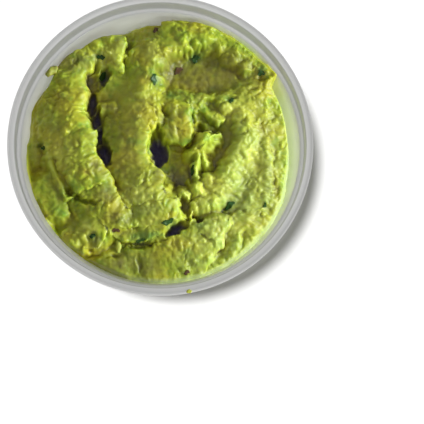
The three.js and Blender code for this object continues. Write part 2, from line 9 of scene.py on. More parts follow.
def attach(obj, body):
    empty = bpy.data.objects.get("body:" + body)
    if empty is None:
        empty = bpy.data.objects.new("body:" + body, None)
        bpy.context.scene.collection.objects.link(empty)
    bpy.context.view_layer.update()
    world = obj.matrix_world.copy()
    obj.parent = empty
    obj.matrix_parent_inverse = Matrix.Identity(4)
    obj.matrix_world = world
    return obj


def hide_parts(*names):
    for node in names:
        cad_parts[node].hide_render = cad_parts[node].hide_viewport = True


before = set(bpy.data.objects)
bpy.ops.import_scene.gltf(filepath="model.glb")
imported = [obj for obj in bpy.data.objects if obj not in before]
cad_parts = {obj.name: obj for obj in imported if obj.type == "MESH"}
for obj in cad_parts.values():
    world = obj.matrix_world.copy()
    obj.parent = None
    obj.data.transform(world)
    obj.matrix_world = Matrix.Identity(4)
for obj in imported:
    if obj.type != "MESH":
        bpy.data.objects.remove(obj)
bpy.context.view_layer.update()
mm = 0.001  # the sizes in the tables below are in millimetres
print("frame loaded:", sorted(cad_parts))

tub = {
    "height": 46.0,
    "rimRadius": 58.5,
    "beadRadius": 0.8,
    "skirtDepth": 2.8,
    "ledgeHeight": 38.5,
    "ledgeOuter": 55.9,
    "ledgeInner": 53.9,
    "taper": math.radians(8.5),
    "wall": 0.9,
    "floor": 1.8,
    "corner": 3.2,  # rounding between the wall and the floor, inside
    "footInner": 41.0,
    "footRecess": 0.8,
    "footRound": 0.4,
    "heelRound": 1.4,
    "stepCut": 0.6,  # slanted corners of the step outside, under the ledge
    "lipRound": 0.9,
    "ledgeRound": 0.5,
    "stepRound": 0.35,
    "outsideHeights": (8, 16, 24, 32),
    "insideHeights": (34, 28, 22, 16, 10),
    "segments": 256,
}


def wallRadius(z):  # the inside of the tub's wall
    return tub["ledgeInner"] - (tub["ledgeHeight"] - z) * math.tan(tub["taper"])


paste = {
    "cells": 292,  # grid cells across the top
    "intoWall": 0.12,  # how far it reaches into the tub's wall
    "edgeBlend": 1.6,  # the width over which the relief meets its line on the wall
    "edgeTop": 38.2,  # stays under the ledge
    "edgeWander": [(7.0, 0.5, 41), (3.0, 0.6, 42)],  # size, amount and seed of waves in its line on the wall
    "wander": [(7.0, 0.8, 21), (3.2, 0.65, 22), (1.7, 0.42, 23)],  # and in the edges of its folds
    "sideHeights": (16, 12, 8),  # rings of points down its side
    "base": {"middle": 27.0, "edge": 24.0},  # level under all the folds
    "blend": 0.6,  # how softly two forms meet
    "warp": [(6.0, 1.1, 61), (2.6, 0.4, 63)],  # pulls the lumps out of round
    "lumps": [(6.5, 0.9, 3), (3.6, 1.0, 11), (2.1, 0.48, 17)],  # size, height, seed
    "lumpCrease": 0.06,  # a small value makes sharp creases between the lumps
    "lumpMiddle": 0.4,  # taken off, so that the lumps keep the paste's level
    "curds": [(2.7, 0.65, 51), (1.5, 0.5, 52)],
    "curdPatches": {"size": 9, "few": -0.3, "many": 0.4},
    "calmEdge": (0.75, 1.25),  # where the edge of a calm area begins and ends
    "frontSlope": 7.0,  # of a fold's steep side
    "behindSlope": 1.2,  # past the end of a fold's back
    "endSlope": 1.3,  # past the ends of a fold's edge
    "leanReach": {"front": 1.6, "back": 3.5},  # how far from its edge a fold leans over
    "shoulderSpread": 0.9,
    "powers": {"fall": 1.5, "ridge": 1.7, "mound": 2.2, "pocket": 3, "dent": 3, "stain": 2.5},
    "moundBlend": 0.5,
    "pocketRise": 4,  # from a pocket's floor to its edge
    "hollowReach": 3.0,  # how far around a point its depth is measured
    "hollowDepth": 6.0,
    "creaseShare": 0.3,  # a crease's reach and depth, as a share of a hollow's
    "plainRim": 0.12,  # the outer share of the radius without hollows
    # painted shade on the deep bottoms away from the wall, by height and radius, both taken with a minus
    "deepShade": {"height": (-30.5, -24), "radius": (-39, -34)},
    # the paste's thin edge at the lower right, by its distance from the wall and its compass angle
    "film": {"distance": (-2.4, -0.3), "middle": -0.75, "spread": (0.2, 0.7)},
    "creviceShadeDepth": (0.3, 1.6),  # how deep a hollow has to be for its painted crevice shade
    "stainPatches": (2.4, 31),  # size and seed
    "folds": {  # each edge with its heights, the front on its right and the soft back on its left
        "bigLeft": dict(back=18, fall=8.5, shoulder=3, lean=1.1, edge=[
            (-11.5, -24, 33.5), (-14, -21.5, 34), (-17, -17, 35), (-18, -12, 36.3), (-20, -9, 37.3),
            (-23.5, -5, 38.3), (-25, -1.5, 38.8), (-25.5, 1, 39), (-25, 5, 39.3), (-26, 9, 39.1),
            (-29, 12.5, 38.9), (-28.5, 16.5, 38.2), (-28, 21, 37.8), (-28.5, 24, 37.2), (-29.5, 27, 36.5),
            (-29, 30, 36), (-26.5, 32, 36)]),
        "tongueLeft": dict(back=12, fall=0, shoulder=1.8, lean=0.7, edge=[
            (-43.5, -1.5, 32), (-40.5, -6.5, 33), (-38, -10.5, 33.5), (-36, -14, 34), (-34, -17, 34),
            (-30, -19, 33.7), (-26, -21, 33.3), (-22, -24, 32.5), (-20, -26.5, 32)]),
        "centreRidge": dict(back=17, fall=9, shoulder=2.8, lean=1.3, ending=0.35, edge=[
            (6, -20, 36.5), (2.5, -17.5, 37.2), (1, -14.5, 37.8), (1, -11, 38.2), (-2, -8, 38.5),
            (-4.5, -4.5, 38.8), (-5.5, -1.5, 39.2), (-4.5, 3, 39.5), (-4, 8, 39.8), (-2, 11, 40)]),
        "tailSide": dict(back=6, fall=1, shoulder=1.4, lean=1, edge=[
            (1, -31, 32), (4.5, -28.5, 32.6), (7, -25.5, 33.5), (8, -22.5, 34), (6, -20, 35)]),
        "tailStreak": dict(back=4, fall=1, shoulder=1, lean=0.8, edge=[
            (1, -29, 33), (2.5, -25.5, 34.5), (3.5, -22.5, 35.5), (5.5, -20.5, 36.3)]),
        "tailLobe": dict(back=4.5, fall=0, shoulder=1.6, lean=0.9, edge=[
            (-12, -19, 34.5), (-10.5, -22, 35), (-6, -22, 36), (-1, -22, 36.3), (2.5, -21.5, 36.4)]),
        "foldTail": dict(back=9, fall=2, shoulder=1.2, lean=0.8, edge=[
            (-20.5, -25.5, 32), (-17, -26.5, 33), (-13.5, -24, 33.6), (-11, -22.5, 34)]),
        "shelfUpper": dict(back=7, fall=1, shoulder=1, lean=0.6, edge=[
            (-23.5, -27.5, 31.5), (-19, -30.5, 32), (-13, -31, 32.3), (-6, -31, 32.6), (-0.5, -30.5, 33),
            (3.5, -29, 33.3)]),
        "shelfLower": dict(back=6, fall=1, shoulder=1, lean=1.2, edge=[
            (-21.5, -33.5, 29.2), (-16.5, -35.5, 29.5), (-11.5, -36, 29.8), (-6, -36, 30),
            (-1, -34.5, 30.5), (2.5, -32, 31.2), (6.5, -29.5, 32), (10, -27.5, 32.5)]),
        "lowerTop": dict(back=14, fall=4, shoulder=1, lean=0.4, edge=[
            (12, -29.5, 33), (9, -31.5, 32.5), (6, -33.5, 32), (2.5, -35, 31), (-1, -36.5, 30),
            (-6.5, -37, 28.6), (-13, -37, 27.5)]),
        "lowerFold": dict(back=15, fall=5, shoulder=3.2, lean=0.4, edge=[
            (16, -50, 26.5), (18, -47, 28.5), (19.5, -44, 29.8), (21.5, -40.5, 31), (24, -38, 32),
            (24.5, -35, 32.8), (25, -31.5, 33.4), (26.5, -29, 33.8), (25.5, -26, 34)]),
        "leftStreak": dict(back=12, fall=2, shoulder=0.8, lean=0.2, edge=[
            (-36, -25, 29.4), (-36.5, -21, 30), (-37, -17.5, 30.4), (-39.5, -13, 30.6), (-42.5, -8, 30.6)]),
        "clump": dict(back=8, fall=3, shoulder=1.5, lean=1.2, edge=[
            (-24.5, -37.5, 30), (-22, -35, 31.5), (-21, -32.5, 32), (-22.5, -28.5, 32), (-24.5, -26, 31.5)]),
        "clumpFoot": dict(back=9, fall=2, shoulder=1.3, lean=1, edge=[
            (-41, -34, 27), (-37, -38, 27.5), (-32.5, -39, 28), (-27.5, -38, 29), (-24.5, -37.5, 30)]),
        "topLeftLobe": dict(back=9, fall=4, shoulder=1.6, lean=0.8, edge=[
            (-21, 32.5, 35), (-18, 30.5, 35.8), (-15.5, 29.5, 36.5), (-14, 32, 37), (-15, 36.5, 37.5),
            (-14, 38.5, 37.8), (-13, 41, 37.8)]),
        "topMiddle": dict(back=12, fall=0, shoulder=0.8, lean=0.1, edge=[
            (-4.5, 42.5, 37), (-7, 42, 36.6), (-9.5, 40.5, 36.4), (-12.5, 38.5, 36.2), (-14, 35.5, 36)]),
        "topStep": dict(back=12, fall=1, shoulder=1, lean=0.6, edge=[
            (0, 51, 36.8), (-0.5, 47.5, 37), (0, 44, 37.6)]),
        "middleLobe": dict(back=12, fall=3, shoulder=2, lean=0.9, edge=[
            (8, 2, 36.4), (11.5, 3, 36.8), (13, 6, 37.6), (12, 10, 38.2), (12, 13.5, 38.7),
            (11.5, 17.5, 39)]),
        "middleFoot": dict(back=12, fall=-2, shoulder=2, lean=0.9, edge=[
            (-1, 4, 36), (2.5, 2.5, 36.3), (7.5, 2, 36.4), (11.5, 2.5, 36.8)]),
        "lip": dict(back=4, fall=2, shoulder=0.8, lean=0.5, edge=[
            (15, 14.5, 38), (17, 12, 38.4), (19, 10.5, 38.6), (22, 9, 38.6), (24, 10, 38.2)]),
        "outerRidge": dict(back=5, fall=2.2, shoulder=2.2, lean=0.3, edge=[
            (40, -24.5, 29.5), (42, -20, 31), (43.5, -15, 32), (44, -10, 33), (43.5, -3.5, 34),
            (42.5, 0.5, 34.2), (42.5, 5, 34)]),
    },
    "ridges": {  # each crest with its heights, and how far it spreads to both sides
        "rightRidge": dict(left=3.6, right=8, drop=5, crest=[
            (20, -21, 34), (21.5, -16, 35.3), (24.5, -10, 36.6), (27, -5.5, 37.3), (29, -1.5, 37.8),
            (32, 3, 38.2), (33.5, 7.5, 38.4), (33, 11.5, 38.6), (31, 15.5, 38.6)]),
        "topBack": dict(left=5, right=5, drop=5, crest=[
            (-1, 46, 31), (-6, 46, 31), (-11, 45, 30.5)]),
        "plateauTop": dict(left=12, right=8, drop=2.5, crest=[
            (-18, 27.5, 35.6), (-14, 25, 36), (-11.5, 20.5, 36.4), (-10.5, 15, 37)]),
        "underTongue": dict(left=6, right=6, drop=2, crest=[
            (-34, -24, 28.6), (-29.5, -26, 29.2), (-25.5, -27.5, 29.6)]),
        "rightBack": dict(left=7, right=9, drop=4, crest=[
            (34, 17, 38.2), (38, 15, 37.6), (40.5, 10.5, 36), (41.5, 5, 34.5)]),
        "centreTop": dict(left=8, right=5, drop=4, crest=[
            (-3.5, 10, 40), (-2.5, 15, 40.3), (-3, 20.5, 40.3), (-4.5, 26, 40.3), (-3, 31, 40)]),
        "scoopFarRim": dict(left=7, right=8, drop=4, crest=[
            (41, 23.5, 37.8), (37, 22, 38.3), (31, 19, 38.6), (24.5, 17.5, 38.6), (17, 18, 38.8),
            (11.5, 17.5, 39.2), (5, 15, 39.8)]),
        "scoopEnd": dict(left=4, right=5, drop=4, crest=[
            (45, 28.5, 37.2), (42.5, 26.5, 37.4), (40, 23.5, 37.4), (39.5, 19.5, 37.4)]),
        "scoopBed": dict(left=10, right=10, drop=0.6, crest=[
            (1, 29, 30.6), (11.5, 29.5, 32.1), (21.5, 30, 33.6), (30.5, 30.5, 35), (38.5, 29.5, 36.2)]),
        "finBed": dict(left=4.5, right=9, drop=1.2, crest=[
            (6.5, 1, 30.4), (8.5, -3.5, 30), (10, -8.5, 29)]),
        "creviceBed": dict(left=5, right=5, drop=1, crest=[
            (1.5, -8.5, 29.4), (4.5, -13.5, 28.2), (7, -18.5, 27.4)]),
        "valleyBed": dict(left=6, right=6, drop=1, crest=[
            (28.5, -24, 31.8), (34.5, -17.5, 32.6), (38, -11, 33.6), (39.5, -3, 34.4), (39.5, 2.5, 34.8)]),
        "crown": dict(left=9, right=4, drop=4, crest=[
            (-4.5, 31, 40), (-2.5, 34.5, 40.4), (1, 38, 40.5), (6.5, 40, 40.5), (9, 43, 40.2), (13, 44, 40),
            (17, 45, 39.6), (20, 43, 38.8)]),
        "crownRight": dict(left=8, right=5, drop=3, crest=[
            (20, 42, 38.6), (25.5, 39.5, 38.2), (32, 36, 38), (38, 32.5, 37.6), (43.5, 28.5, 37.2)]),
        "fin": dict(left=2.6, right=2.8, drop=3.5, crest=[
            (11.5, -2, 36.3), (14, 0, 38.5), (16.5, 2, 40), (17.5, 4, 41)]),
        "finTip": dict(left=1.5, right=1.8, drop=3.5, crest=[
            (16.5, 2, 39.8), (19, 3, 40.4), (21.5, 4.5, 40)]),
        "finFoot": dict(left=2.3, right=2.3, drop=3.5, crest=[
            (13.5, -3.5, 36), (16, -1.5, 38.4), (18, 1, 39.8)]),
        "ribLeft": dict(left=1.5, right=1.8, drop=3, crest=[
            (14.5, -2, 38), (14, -6.5, 36.4), (14, -11.5, 34.6)]),
        "ribRight": dict(left=1.8, right=1.8, drop=3, crest=[
            (16.5, -1.5, 38), (17, -4, 36.4), (18, -6.5, 34.6)]),
        "stem": dict(left=5, right=4, drop=4, crest=[
            (14, -14, 33.6), (16.5, -17.5, 34.6), (19.5, -21, 34.8)]),
        "lowerStreak": dict(left=3, right=2, drop=3, crest=[
            (-0.5, -36, 30.3), (2.5, -40.5, 30.3), (6, -44, 29.8), (9.5, -46.5, 29)]),
        "lowerRib": dict(left=2.5, right=2.5, drop=2, crest=[
            (13, -37.5, 32.6), (13, -41.5, 31.5), (14.5, -46, 29.5)]),
        "strand": dict(left=0.8, right=0.9, drop=4, crest=[
            (10.5, -23.5, 34.4), (11.5, -26, 34), (12, -29.5, 33.6)]),
        "leftBand": dict(left=6, right=9, drop=4, crest=[
            (-50, 0.5, 29), (-50.5, 10.5, 30.5), (-46, 21, 32.5), (-39, 31, 34.5), (-30, 39, 36),
            (-22, 41.5, 36.8)]),
        "farRight": dict(left=4, right=5, drop=2.5, crest=[
            (30.5, -25.5, 32), (34.5, -28.5, 31.5), (37, -32, 30), (34.5, -38, 28)]),
        "farRightLow": dict(left=9, right=6, drop=2.5, crest=[
            (29, -31, 31.4), (29.5, -37, 30), (27, -42.5, 28.4)]),
        "farRightLowest": dict(left=7, right=6, drop=2, crest=[
            (23.5, -43.5, 27.6), (19, -48.5, 26.8)]),
        "lowerMass": dict(left=12, right=8, drop=4, crest=[
            (-12, -43.5, 27.5), (-4.5, -45.5, 28), (3.5, -47, 28), (11.5, -48.5, 27.5)]),
        "bottomMass": dict(left=8, right=8, drop=4, crest=[
            (-27.5, -41, 26), (-22, -43, 27.5), (-15, -43.5, 28)]),
    },
    "mounds": [  # x, y, top, radius, rise
        (-2, 34, 41.3, 3.2, 2.5), (1, 38, 41, 2.6, 3), (8.5, 42, 41, 3.6, 3.2), (16.5, 43.5, 40.6, 3.6, 3),
        (14, 41.5, 40.2, 2.4, 3), (10.5, 39.5, 39.9, 2, 2.4), (29, 37, 39, 4, 2),
        (33.5, 32.5, 38.8, 3, 1.8), (24, 40.5, 39, 2.5, 1.5), (-6, 23.5, 41, 3, 1.8),
        (-6.5, 20.5, 41, 3, 2), (-2, 14.5, 41, 3.5, 2), (9, 16, 40.2, 3, 2), (4.5, 14, 40.2, 2.6, 2),
        (9, 11, 39.6, 3, 1.8), (6, 9, 38.6, 3.4, 1.6), (-8, 7.5, 39.5, 2, 1.6), (-32, -5.5, 38, 2.6, 1.2),
        (-23.5, -12, 37, 2.4, 1.5), (-6, -17, 38, 3, 2.2), (-2, -18.5, 37.8, 3, 1.8),
        (-2.5, -12, 39.2, 1.8, 2.6), (-12, -7, 36.8, 1.1, 1), (-14.5, -4, 36.6, 1.1, 1),
        (-18.5, 16, 36.8, 2.6, 1.4), (31.5, 13.5, 39.4, 3.5, 2), (33, 8.5, 39.3, 3, 1.6),
        (38, 19.5, 38.4, 4, 2), (14.5, -16, 36, 2.6, 2), (16.5, -22, 35.8, 3, 1.8),
        (20, -20.5, 36, 2.4, 1.6), (41, -4, 34.8, 2.4, 1.6), (40, -9, 33.8, 2.6, 1.8),
        (39.5, -14.5, 33, 3, 2), (40, -22, 31, 3.4, 2), (38, -26.5, 30, 3, 2), (33, -30, 30.6, 3, 1.8),
        (35.5, -34.5, 28.6, 2.6, 1.6), (-28.5, -2.5, 39, 2.5, 1.3), (25.5, 15.5, 40, 2.2, 1.8),
        (8.5, -17.5, 36.4, 2.2, 2), (-17, 38, 38.4, 3, 1.8), (-17.5, 31.5, 37.8, 2.8, 2),
        (-27.5, -31, 32.2, 3, 1.8), (-23, -32, 33, 2.8, 2), (-30, -34, 31, 2.6, 1.6), (-37, -1, 36, 4, 1.2),
        (26, -27.5, 34.6, 1.6, 1.4), (21, -33, 34.2, 2.6, 1.4), (23.5, -30, 34.4, 2.2, 1.4),
        (10, -33.5, 32.8, 1.6, 1.2), (-6, -29.5, 33.4, 1.6, 1.2), (-10, -29, 33.2, 1.3, 1),
        (-15, -30, 32.8, 1.4, 1), (-22.5, 16, 36, 2, 1), (-33, 15.5, 38.2, 3, 1.6),
        (-34.5, 7.5, 38, 3, 1.2), (-42, 25, 34.8, 2.6, 1.6), (-25.5, 41, 37, 2.6, 1.4),
        (-36, 36.5, 35.2, 2.6, 1.4), (-33.5, -36, 30.5, 2.4, 1.6), (-25, -35, 31.6, 2.2, 1.6),
        (-22, -30.5, 32.8, 2, 1.5), (-27, -27.5, 31.4, 2, 1.4), (-23.5, -26, 31.6, 1.6, 1.4),
        (-30.5, -37.5, 29.8, 2, 1.4), (14.5, -16, 36, 2.2, 1.8), (19, -12.5, 36, 2.6, 2),
        (20, -16, 35.6, 2.4, 1.8), (13, -23, 35, 2.2, 1.6), (29, -5, 37.6, 2.6, 1.4),
        (26.5, -10, 36.8, 2.4, 1.4), (32, -0.5, 38.2, 2.6, 1.4), (-9, -16, 37.6, 2.2, 1.8),
        (-4, -20, 37.8, 2, 1.6), (-15, -26, 34, 1.6, 1.4), (-18, -22.5, 34.2, 1.8, 1.2),
        (-2.5, -16, 38.8, 1.8, 2.6),
    ],
    "pockets": [  # x, y, half sizes, turn, floor
        (-26, 26.5, 4.4, 4.6, 0.3, 30.5), (-22.5, 28.5, 2.6, 3.8, 0, 29.5), (-27, 18, 1.9, 5, 0, 27),
        (-25.5, 12, 1.4, 4, -0.3, 26), (-24, 6, 1, 4, 0, 27), (-22, -1.5, 2.2, 4.6, 0.15, 25),
        (-0.5, 0, 2.5, 5, 0.05, 21), (-1.5, 6, 1.3, 3, -0.2, 33), (9, -22.5, 1.4, 3.4, 0.1, 29),
        (6, -31.5, 4.6, 1.8, 0.5, 25), (15, -28, 1.6, 1.1, 0, 28), (15, 8, 2.3, 2.4, 0, 31),
        (20, 6.5, 4, 1.1, -0.25, 33.5),
    ],
    "bowls": [
        dict(oval=(19.5, 30, 19.4, 9, -0.03), floor=33.6, depth=5, soft=0.7, power=8, tilt=0.16),
        dict(oval=(24, -1, 5, 9, -0.42), floor=32.5, depth=5, soft=1, power=2.2, tilt=0),
    ],
    "dents": [  # x, y, half sizes, turn, depth
        (-12, 41.5, 1.6, 1.2, 0.5, 1.6), (-33, 34.5, 1.3, 1.3, 0, 1.2), (39, 27.5, 1.4, 1, 0, 1.8),
        (-18, -41, 2.4, 1, 0, 1.6), (-28, -41, 4, 1.1, 0.1, 2), (-17.5, -14.5, 1.4, 2.6, 0.6, 2),
        (44, -3.5, 1.4, 4, -0.2, 1), (45, -16, 1.4, 4, 0.1, 0.9), (-35.5, -16.5, 1.7, 1.7, 0.4, 3),
        (12, -9, 0.9, 3.6, 0, 3), (15, -9, 0.9, 3, 0.1, 2.4), (24, -24, 2.8, 1.3, 0.5, 1.6),
        (12.5, 10.5, 0.8, 3.2, 0, 2), (21, 16, 5, 2.1, -0.25, 2.4), (28, 19.5, 1.4, 0.7, 0, 0.8),
        (-8.5, -45.5, 1, 4, 0.2, 0.8), (-24, 37, 2, 0.8, 0, 0.9), (-47.5, 2, 1.3, 0.6, 0, 1),
        (33, 6.5, 1.6, 1.2, 0, 1.2), (17.5, 35.5, 2, 2, 0, 0.8), (31, 29, 1.2, 1, 0, 0.9),
        (36, 24, 1.4, 0.8, 0, 0.8), (1.5, 22.5, 1.2, 2, 0.3, 1),
    ],
    "grooves": [
        dict(width=1.1, depth=1.6, line=[
            (-26.5, 32), (-29, 30), (-29.5, 27.5), (-29, 24.5), (-27, 22)]),
        dict(width=1.1, depth=2.4, line=[
            (-41.5, -5), (-39, -9), (-37, -13), (-35, -16.5), (-32.5, -19), (-29, -20.5), (-25.5, -22)]),
        dict(width=1, depth=1.4, line=[
            (-41.5, 14.5), (-41, 17), (-39.5, 20)]),
        dict(width=1.9, depth=0.9, line=[
            (26, -23), (30, -20.5), (33.5, -16.5), (36, -12), (38.5, -6.5)]),
        dict(width=1.5, depth=1.8, line=[
            (23.5, -25.5), (27.5, -24.5), (31.5, -24)]),
        dict(width=1, depth=1.6, line=[
            (1, 15), (2.5, 12)]),
        dict(width=0.7, depth=2.2, line=[
            (-12.5, -38), (-8, -38), (-3.5, -37.5)]),
        dict(width=1, depth=1.2, line=[
            (32.5, -33), (31.5, -38.5), (29.5, -42.5)]),
    ],
    "calm": [  # where a spoon has smoothed it: x, y, half sizes, turn, share of the lumps left
        (18, 29.5, 17, 6.5, -0.03, 0.3), (-13, 22, 9, 8, 0.3, 0.35), (3, 43.5, 3.5, 5, 0.2, 0.3),
        (-42, -19, 7, 14, 0.3, 0.4), (-30, -28, 7, 4, -0.3, 0.35), (-12, -44, 20, 6.5, -0.12, 0.35),
        (-14, -2, 8, 11, 0.1, 0.55), (24, -2, 5, 9, -0.3, 0.4),
    ],
    "stains": {  # x, y, half sizes, turn, amount; besides real stains, some are painted light and painted shade
        "leaf": [
            (-22.5, 29, 2.2, 3.4, 0, 0.65), (-2.5, 27, 1.3, 3.4, 0.3, 0.8), (14, 37, 3.2, 1.6, 0.3, 0.9),
            (12.5, -8.5, 0.9, 4.4, 0, 1), (-4.5, -24.5, 6.5, 1.9, 0.1, 0.8), (-6.5, -34, 8, 1.6, 0.05, 0.8),
            (27, -21.5, 4.4, 2.6, 0.5, 0.8), (4, -30, 3.4, 1.5, 0.3, 0.7), (39, 30.5, 1.6, 1.2, 0, 0.9),
            (-47.5, 2.5, 1.5, 1.1, 0, 0.8), (-26, -35, 1.8, 1.4, 0, 0.6), (41, -20.5, 1.6, 1.3, 0, 0.7),
            (27, 19, 2, 1.1, 0, 0.8), (-24, 37, 2.4, 1, 0, 0.8), (12, 12, 1.2, 5, 0, 0.7),
            (-37.5, 20.5, 1.6, 1.6, 0, 0.6), (31.5, -25, 3, 1.8, 0.3, 0.5), (-17.5, -11, 2, 2, 0, 0.3),
            (-39, -24.5, 3, 3, 0, 0.3), (-16, -38, 3, 1.6, 0, 0.4), (19.5, 23.5, 3, 1.6, 0, 0.35),
            (3.5, 20.5, 3.4, 2.2, 0, 0.6), (-28, 35, 3, 2, 0.4, 0.35), (-42, 8, 3, 4, 0, 0.3),
            (16, -30.5, 2, 1.2, 0, 0.6),
        ],
        # browned paste, with painted shade on slopes and on the scoop's floor that lie in shade
        "brownAndShade": [
            (9, 32.5, 6.5, 3.2, 0.1, 0.8), (-2.5, 46.5, 3, 1.6, 0.2, 0.8), (-22.5, 17, 5, 7, 0, 0.45),
            (21, 15.5, 4.4, 1.9, -0.3, 0.8), (28, 1, 4, 5, 0.3, 0.5), (-8.5, -45.5, 1.4, 4.4, 0.2, 0.6),
            (-13.5, 41, 2.4, 1.6, 0, 0.5), (-15, -26, 6, 2.4, 0, 0.4), (-14, -33, 5, 1.6, 0, 0.35),
            (-39, -16.5, 5, 5, 0, 0.35), (6.5, -40.5, 5, 5, 0, 0.3), (4, 3.5, 3, 2, 0, 0.4),
            (-30.5, 22.5, 1.6, 5, 0, 0.5), (-16, -0.5, 5, 9, 0.1, 0.35), (18.5, 29, 19, 9, 0, 1),
            (-27, 19.5, 2.2, 10, 0, 0.6), (-23.5, -9.5, 2.6, 3, 0, 0.7), (-20.5, -17.5, 3, 3, 0, 0.5),
            (-29.5, 36, 3.5, 4, 0, 0.6), (-34.5, 33.5, 2.5, 3, 0, 0.6), (5.5, 32, 7, 4, 0, 1),
            (-16.5, -44.5, 7, 4, 0, 0.8), (-5.5, -46, 6, 4, 0, 0.8), (-21.5, -19.5, 4, 2.6, 0, 0.8),
            (-14.5, -29, 4, 2, 0, 0.8), (4.5, -9.5, 2.4, 3, 0, 0.5), (-24, -37.5, 2.4, 2, 0, 0.7),
            (42.5, -16.5, 2.4, 8, 0, 0.5), (-21, 9.5, 3, 4.5, 0, 0.5), (-21, 8, 6, 15, -0.15, 0.55),
            (-20, -4, 5, 5, 0, 0.5), (-35.5, 34, 4, 4, 0, 0.6), (4.5, 31, 5, 6, 0, 1),
            (-14.5, 41, 4, 3, 0, 0.6), (-0.5, 33.5, 3, 4, 0, 0.5), (-25.5, -8, 3, 3, 0, 0.8),
            (-0.5, -11, 4, 4, 0, 0.8), (-17.5, -26.5, 4, 3, 0, 0.6), (30.5, -22, 3, 3, 0, 0.7),
            (2.5, 5.5, 4, 3, 0, 0.6), (14.5, 20.5, 6, 3, 0, 0.6),
        ],
        # painted shade in the deepest crevices
        "creviceShade": [
            (-23, 29, 2.3, 4, 0, 0.9), (-28.5, 26.5, 1.3, 4.6, -0.2, 0.8), (-25.5, 17, 1.6, 5, -0.1, 0.6),
            (-24.5, 8, 1.8, 6, -0.1, 0.6), (-22, -1.5, 2.6, 6, 0.15, 0.7),
        ],
        # fresh green paste, with painted light on the lit right side
        "limeAndLight": [
            (34.5, -12.5, 14, 24, -0.3, 0.8), (23.5, -36, 12, 14, 0.3, 0.8), (29.5, 3.5, 8, 12, 0, 0.6),
            (17, -20.5, 5, 8, 0, 0.5), (13.5, -44.5, 7, 7, 0, 0.5), (-4.5, -20.5, 5, 3, 0, 0.4),
            (-8, -19, 6, 4, 0, 0.6),
        ],
        # painted light: lighter patches where light falls on the lumps
        "paintedLight": [
            (38, -6.5, 3, 9, 0.1, 0.9), (17.5, -14.5, 5, 9, 0, 1), (20, -4, 3, 4, 0, 0.9),
            (28, 14.5, 4, 3.4, 0, 1), (-9, -17.5, 6, 4, 0, 1), (-29.5, -31.5, 5, 4, 0, 1),
            (18, -36, 3, 5, 0, 0.7), (-6, 18.5, 4, 5, 0, 0.6), (14, 3.5, 2.4, 2.4, 0, 0.6),
            (-3, 37, 2.6, 4, 0, 1), (-20, 36, 5, 4, 0, 1), (-11, 50.5, 6, 3, 0, 0.8),
            (31, 15.5, 6, 4, 0, 0.6), (-8.5, 19.5, 4, 5, 0, 0.6), (26, -4.5, 3, 6, 0, 0.4),
            (-41.5, -3, 8, 8, 0, 0.6), (11, -20.5, 5, 4, 0, 0.9), (-5, -24.5, 6, 2.4, 0, 0.7),
            (-36.5, -37.5, 4, 3, 0, 0.7), (-50.5, -3, 4, 7, 0, 0.5), (36, 23.5, 4, 3, 0, 0.5),
            (-46, 11.5, 3, 4, 0, 0.3), (-51.5, 3.5, 5, 10, 0, 0.6), (35.5, -4, 4, 6, 0, 0.8),
            (11.5, -8, 3, 4, 0, 0.7), (-4, -29, 6, 3, 0, 0.8), (-31, -31.5, 5, 4, 0, 0.6),
            (16.5, -36, 4, 3, 0, 0.6), (7.5, -17.5, 3, 4, 0, 0.7), (31, -0.5, 3, 5, 0, 0.5),
        ],
        # painted shade: darker patches where shade falls
        "paintedShade": [
            (6.5, -14, 3.4, 7, 0.3, 0.8), (-12, -43, 9, 5, 0, 0.45), (-20.5, -17.5, 3, 3, 0, 0.6),
            (-24.5, -36, 3, 2.5, 0, 0.6), (-33.5, 35, 5, 5, 0, 0.45), (-16, -27, 3, 2, 0, 0.5),
            (26.5, -27, 3, 2, 0, 0.5), (42.5, -12.5, 2.4, 9, 0, 0.3), (-10.5, 1.5, 5, 16, 0, 0.5),
            (-17, 7.5, 5, 12, 0, 0.3), (-14.5, -9.5, 5, 8, 0, 0.4), (-26.5, 18.5, 2.4, 10, -0.15, 0.6),
            (-21, 14.5, 4, 9, -0.1, 0.4), (-19, 1.5, 4, 10, -0.2, 0.4), (2.5, 12, 6, 3, 0, 0.5),
            (18.5, 9, 5, 3, 0, 0.4), (-11.5, -0.5, 3, 8, 0, 0.3), (6.5, 31.5, 5, 5, 0, 0.35),
            (4.5, -9.5, 2.4, 3, 0, 0.5), (-33, 32.5, 4, 4, 0, 0.4),
        ],
        "ochre": [
            (-6, 26, 2.6, 2.2, 0, 0.8), (19, -12.5, 2.6, 3, 0, 0.9), (-28.5, -10, 1.6, 1.2, 0, 0.7),
            (-30, 10.5, 1.6, 1.2, 0, 0.6), (45, -15, 1.4, 5, 0.1, 0.8), (30.5, -30.5, 3, 3, 0, 0.5),
            (-36.5, -34, 3, 3, 0, 0.5), (14, 46.5, 3.6, 1.6, 0, 0.5), (-9, 14.5, 3, 3, 0, 0.4),
            (10, 5.5, 3.6, 2, 0, 0.5), (-20, -4.5, 2, 3, 0, 0.4), (35, 14.5, 3.4, 3, 0, 0.4),
            (1.5, -49.5, 4, 2, 0, 0.4),
        ],
    },
    # height of the paste's line on the wall, by compass angle in degrees from +X
    "wallLine": [
        (0, 20.8), (10, 20.4), (20, 20.8), (29.5, 20.4), (31.2, 25), (32.4, 38), (36, 37), (42, 34),
        (51, 34.7), (60, 34.3), (67, 34.7), (73, 34.2), (80, 32.8), (85, 32), (88, 29), (90, 24),
        (93, 21.5), (98, 24.6), (102, 24.3), (106, 21.5), (109, 19), (113, 21), (116, 23), (119, 27.5),
        (124, 26.5), (127, 25.5), (131, 31), (134, 32.2), (140, 31.6), (146, 27.8), (149, 26), (153, 28.6),
        (163, 31.4), (168, 28.5), (174, 26.3), (178, 29.5), (187, 31.5), (195, 30), (210, 28), (222, 27),
        (232, 24), (244, 21.5), (258, 24), (275, 25), (314, 25), (327, 27), (339, 25), (349, 21.2),
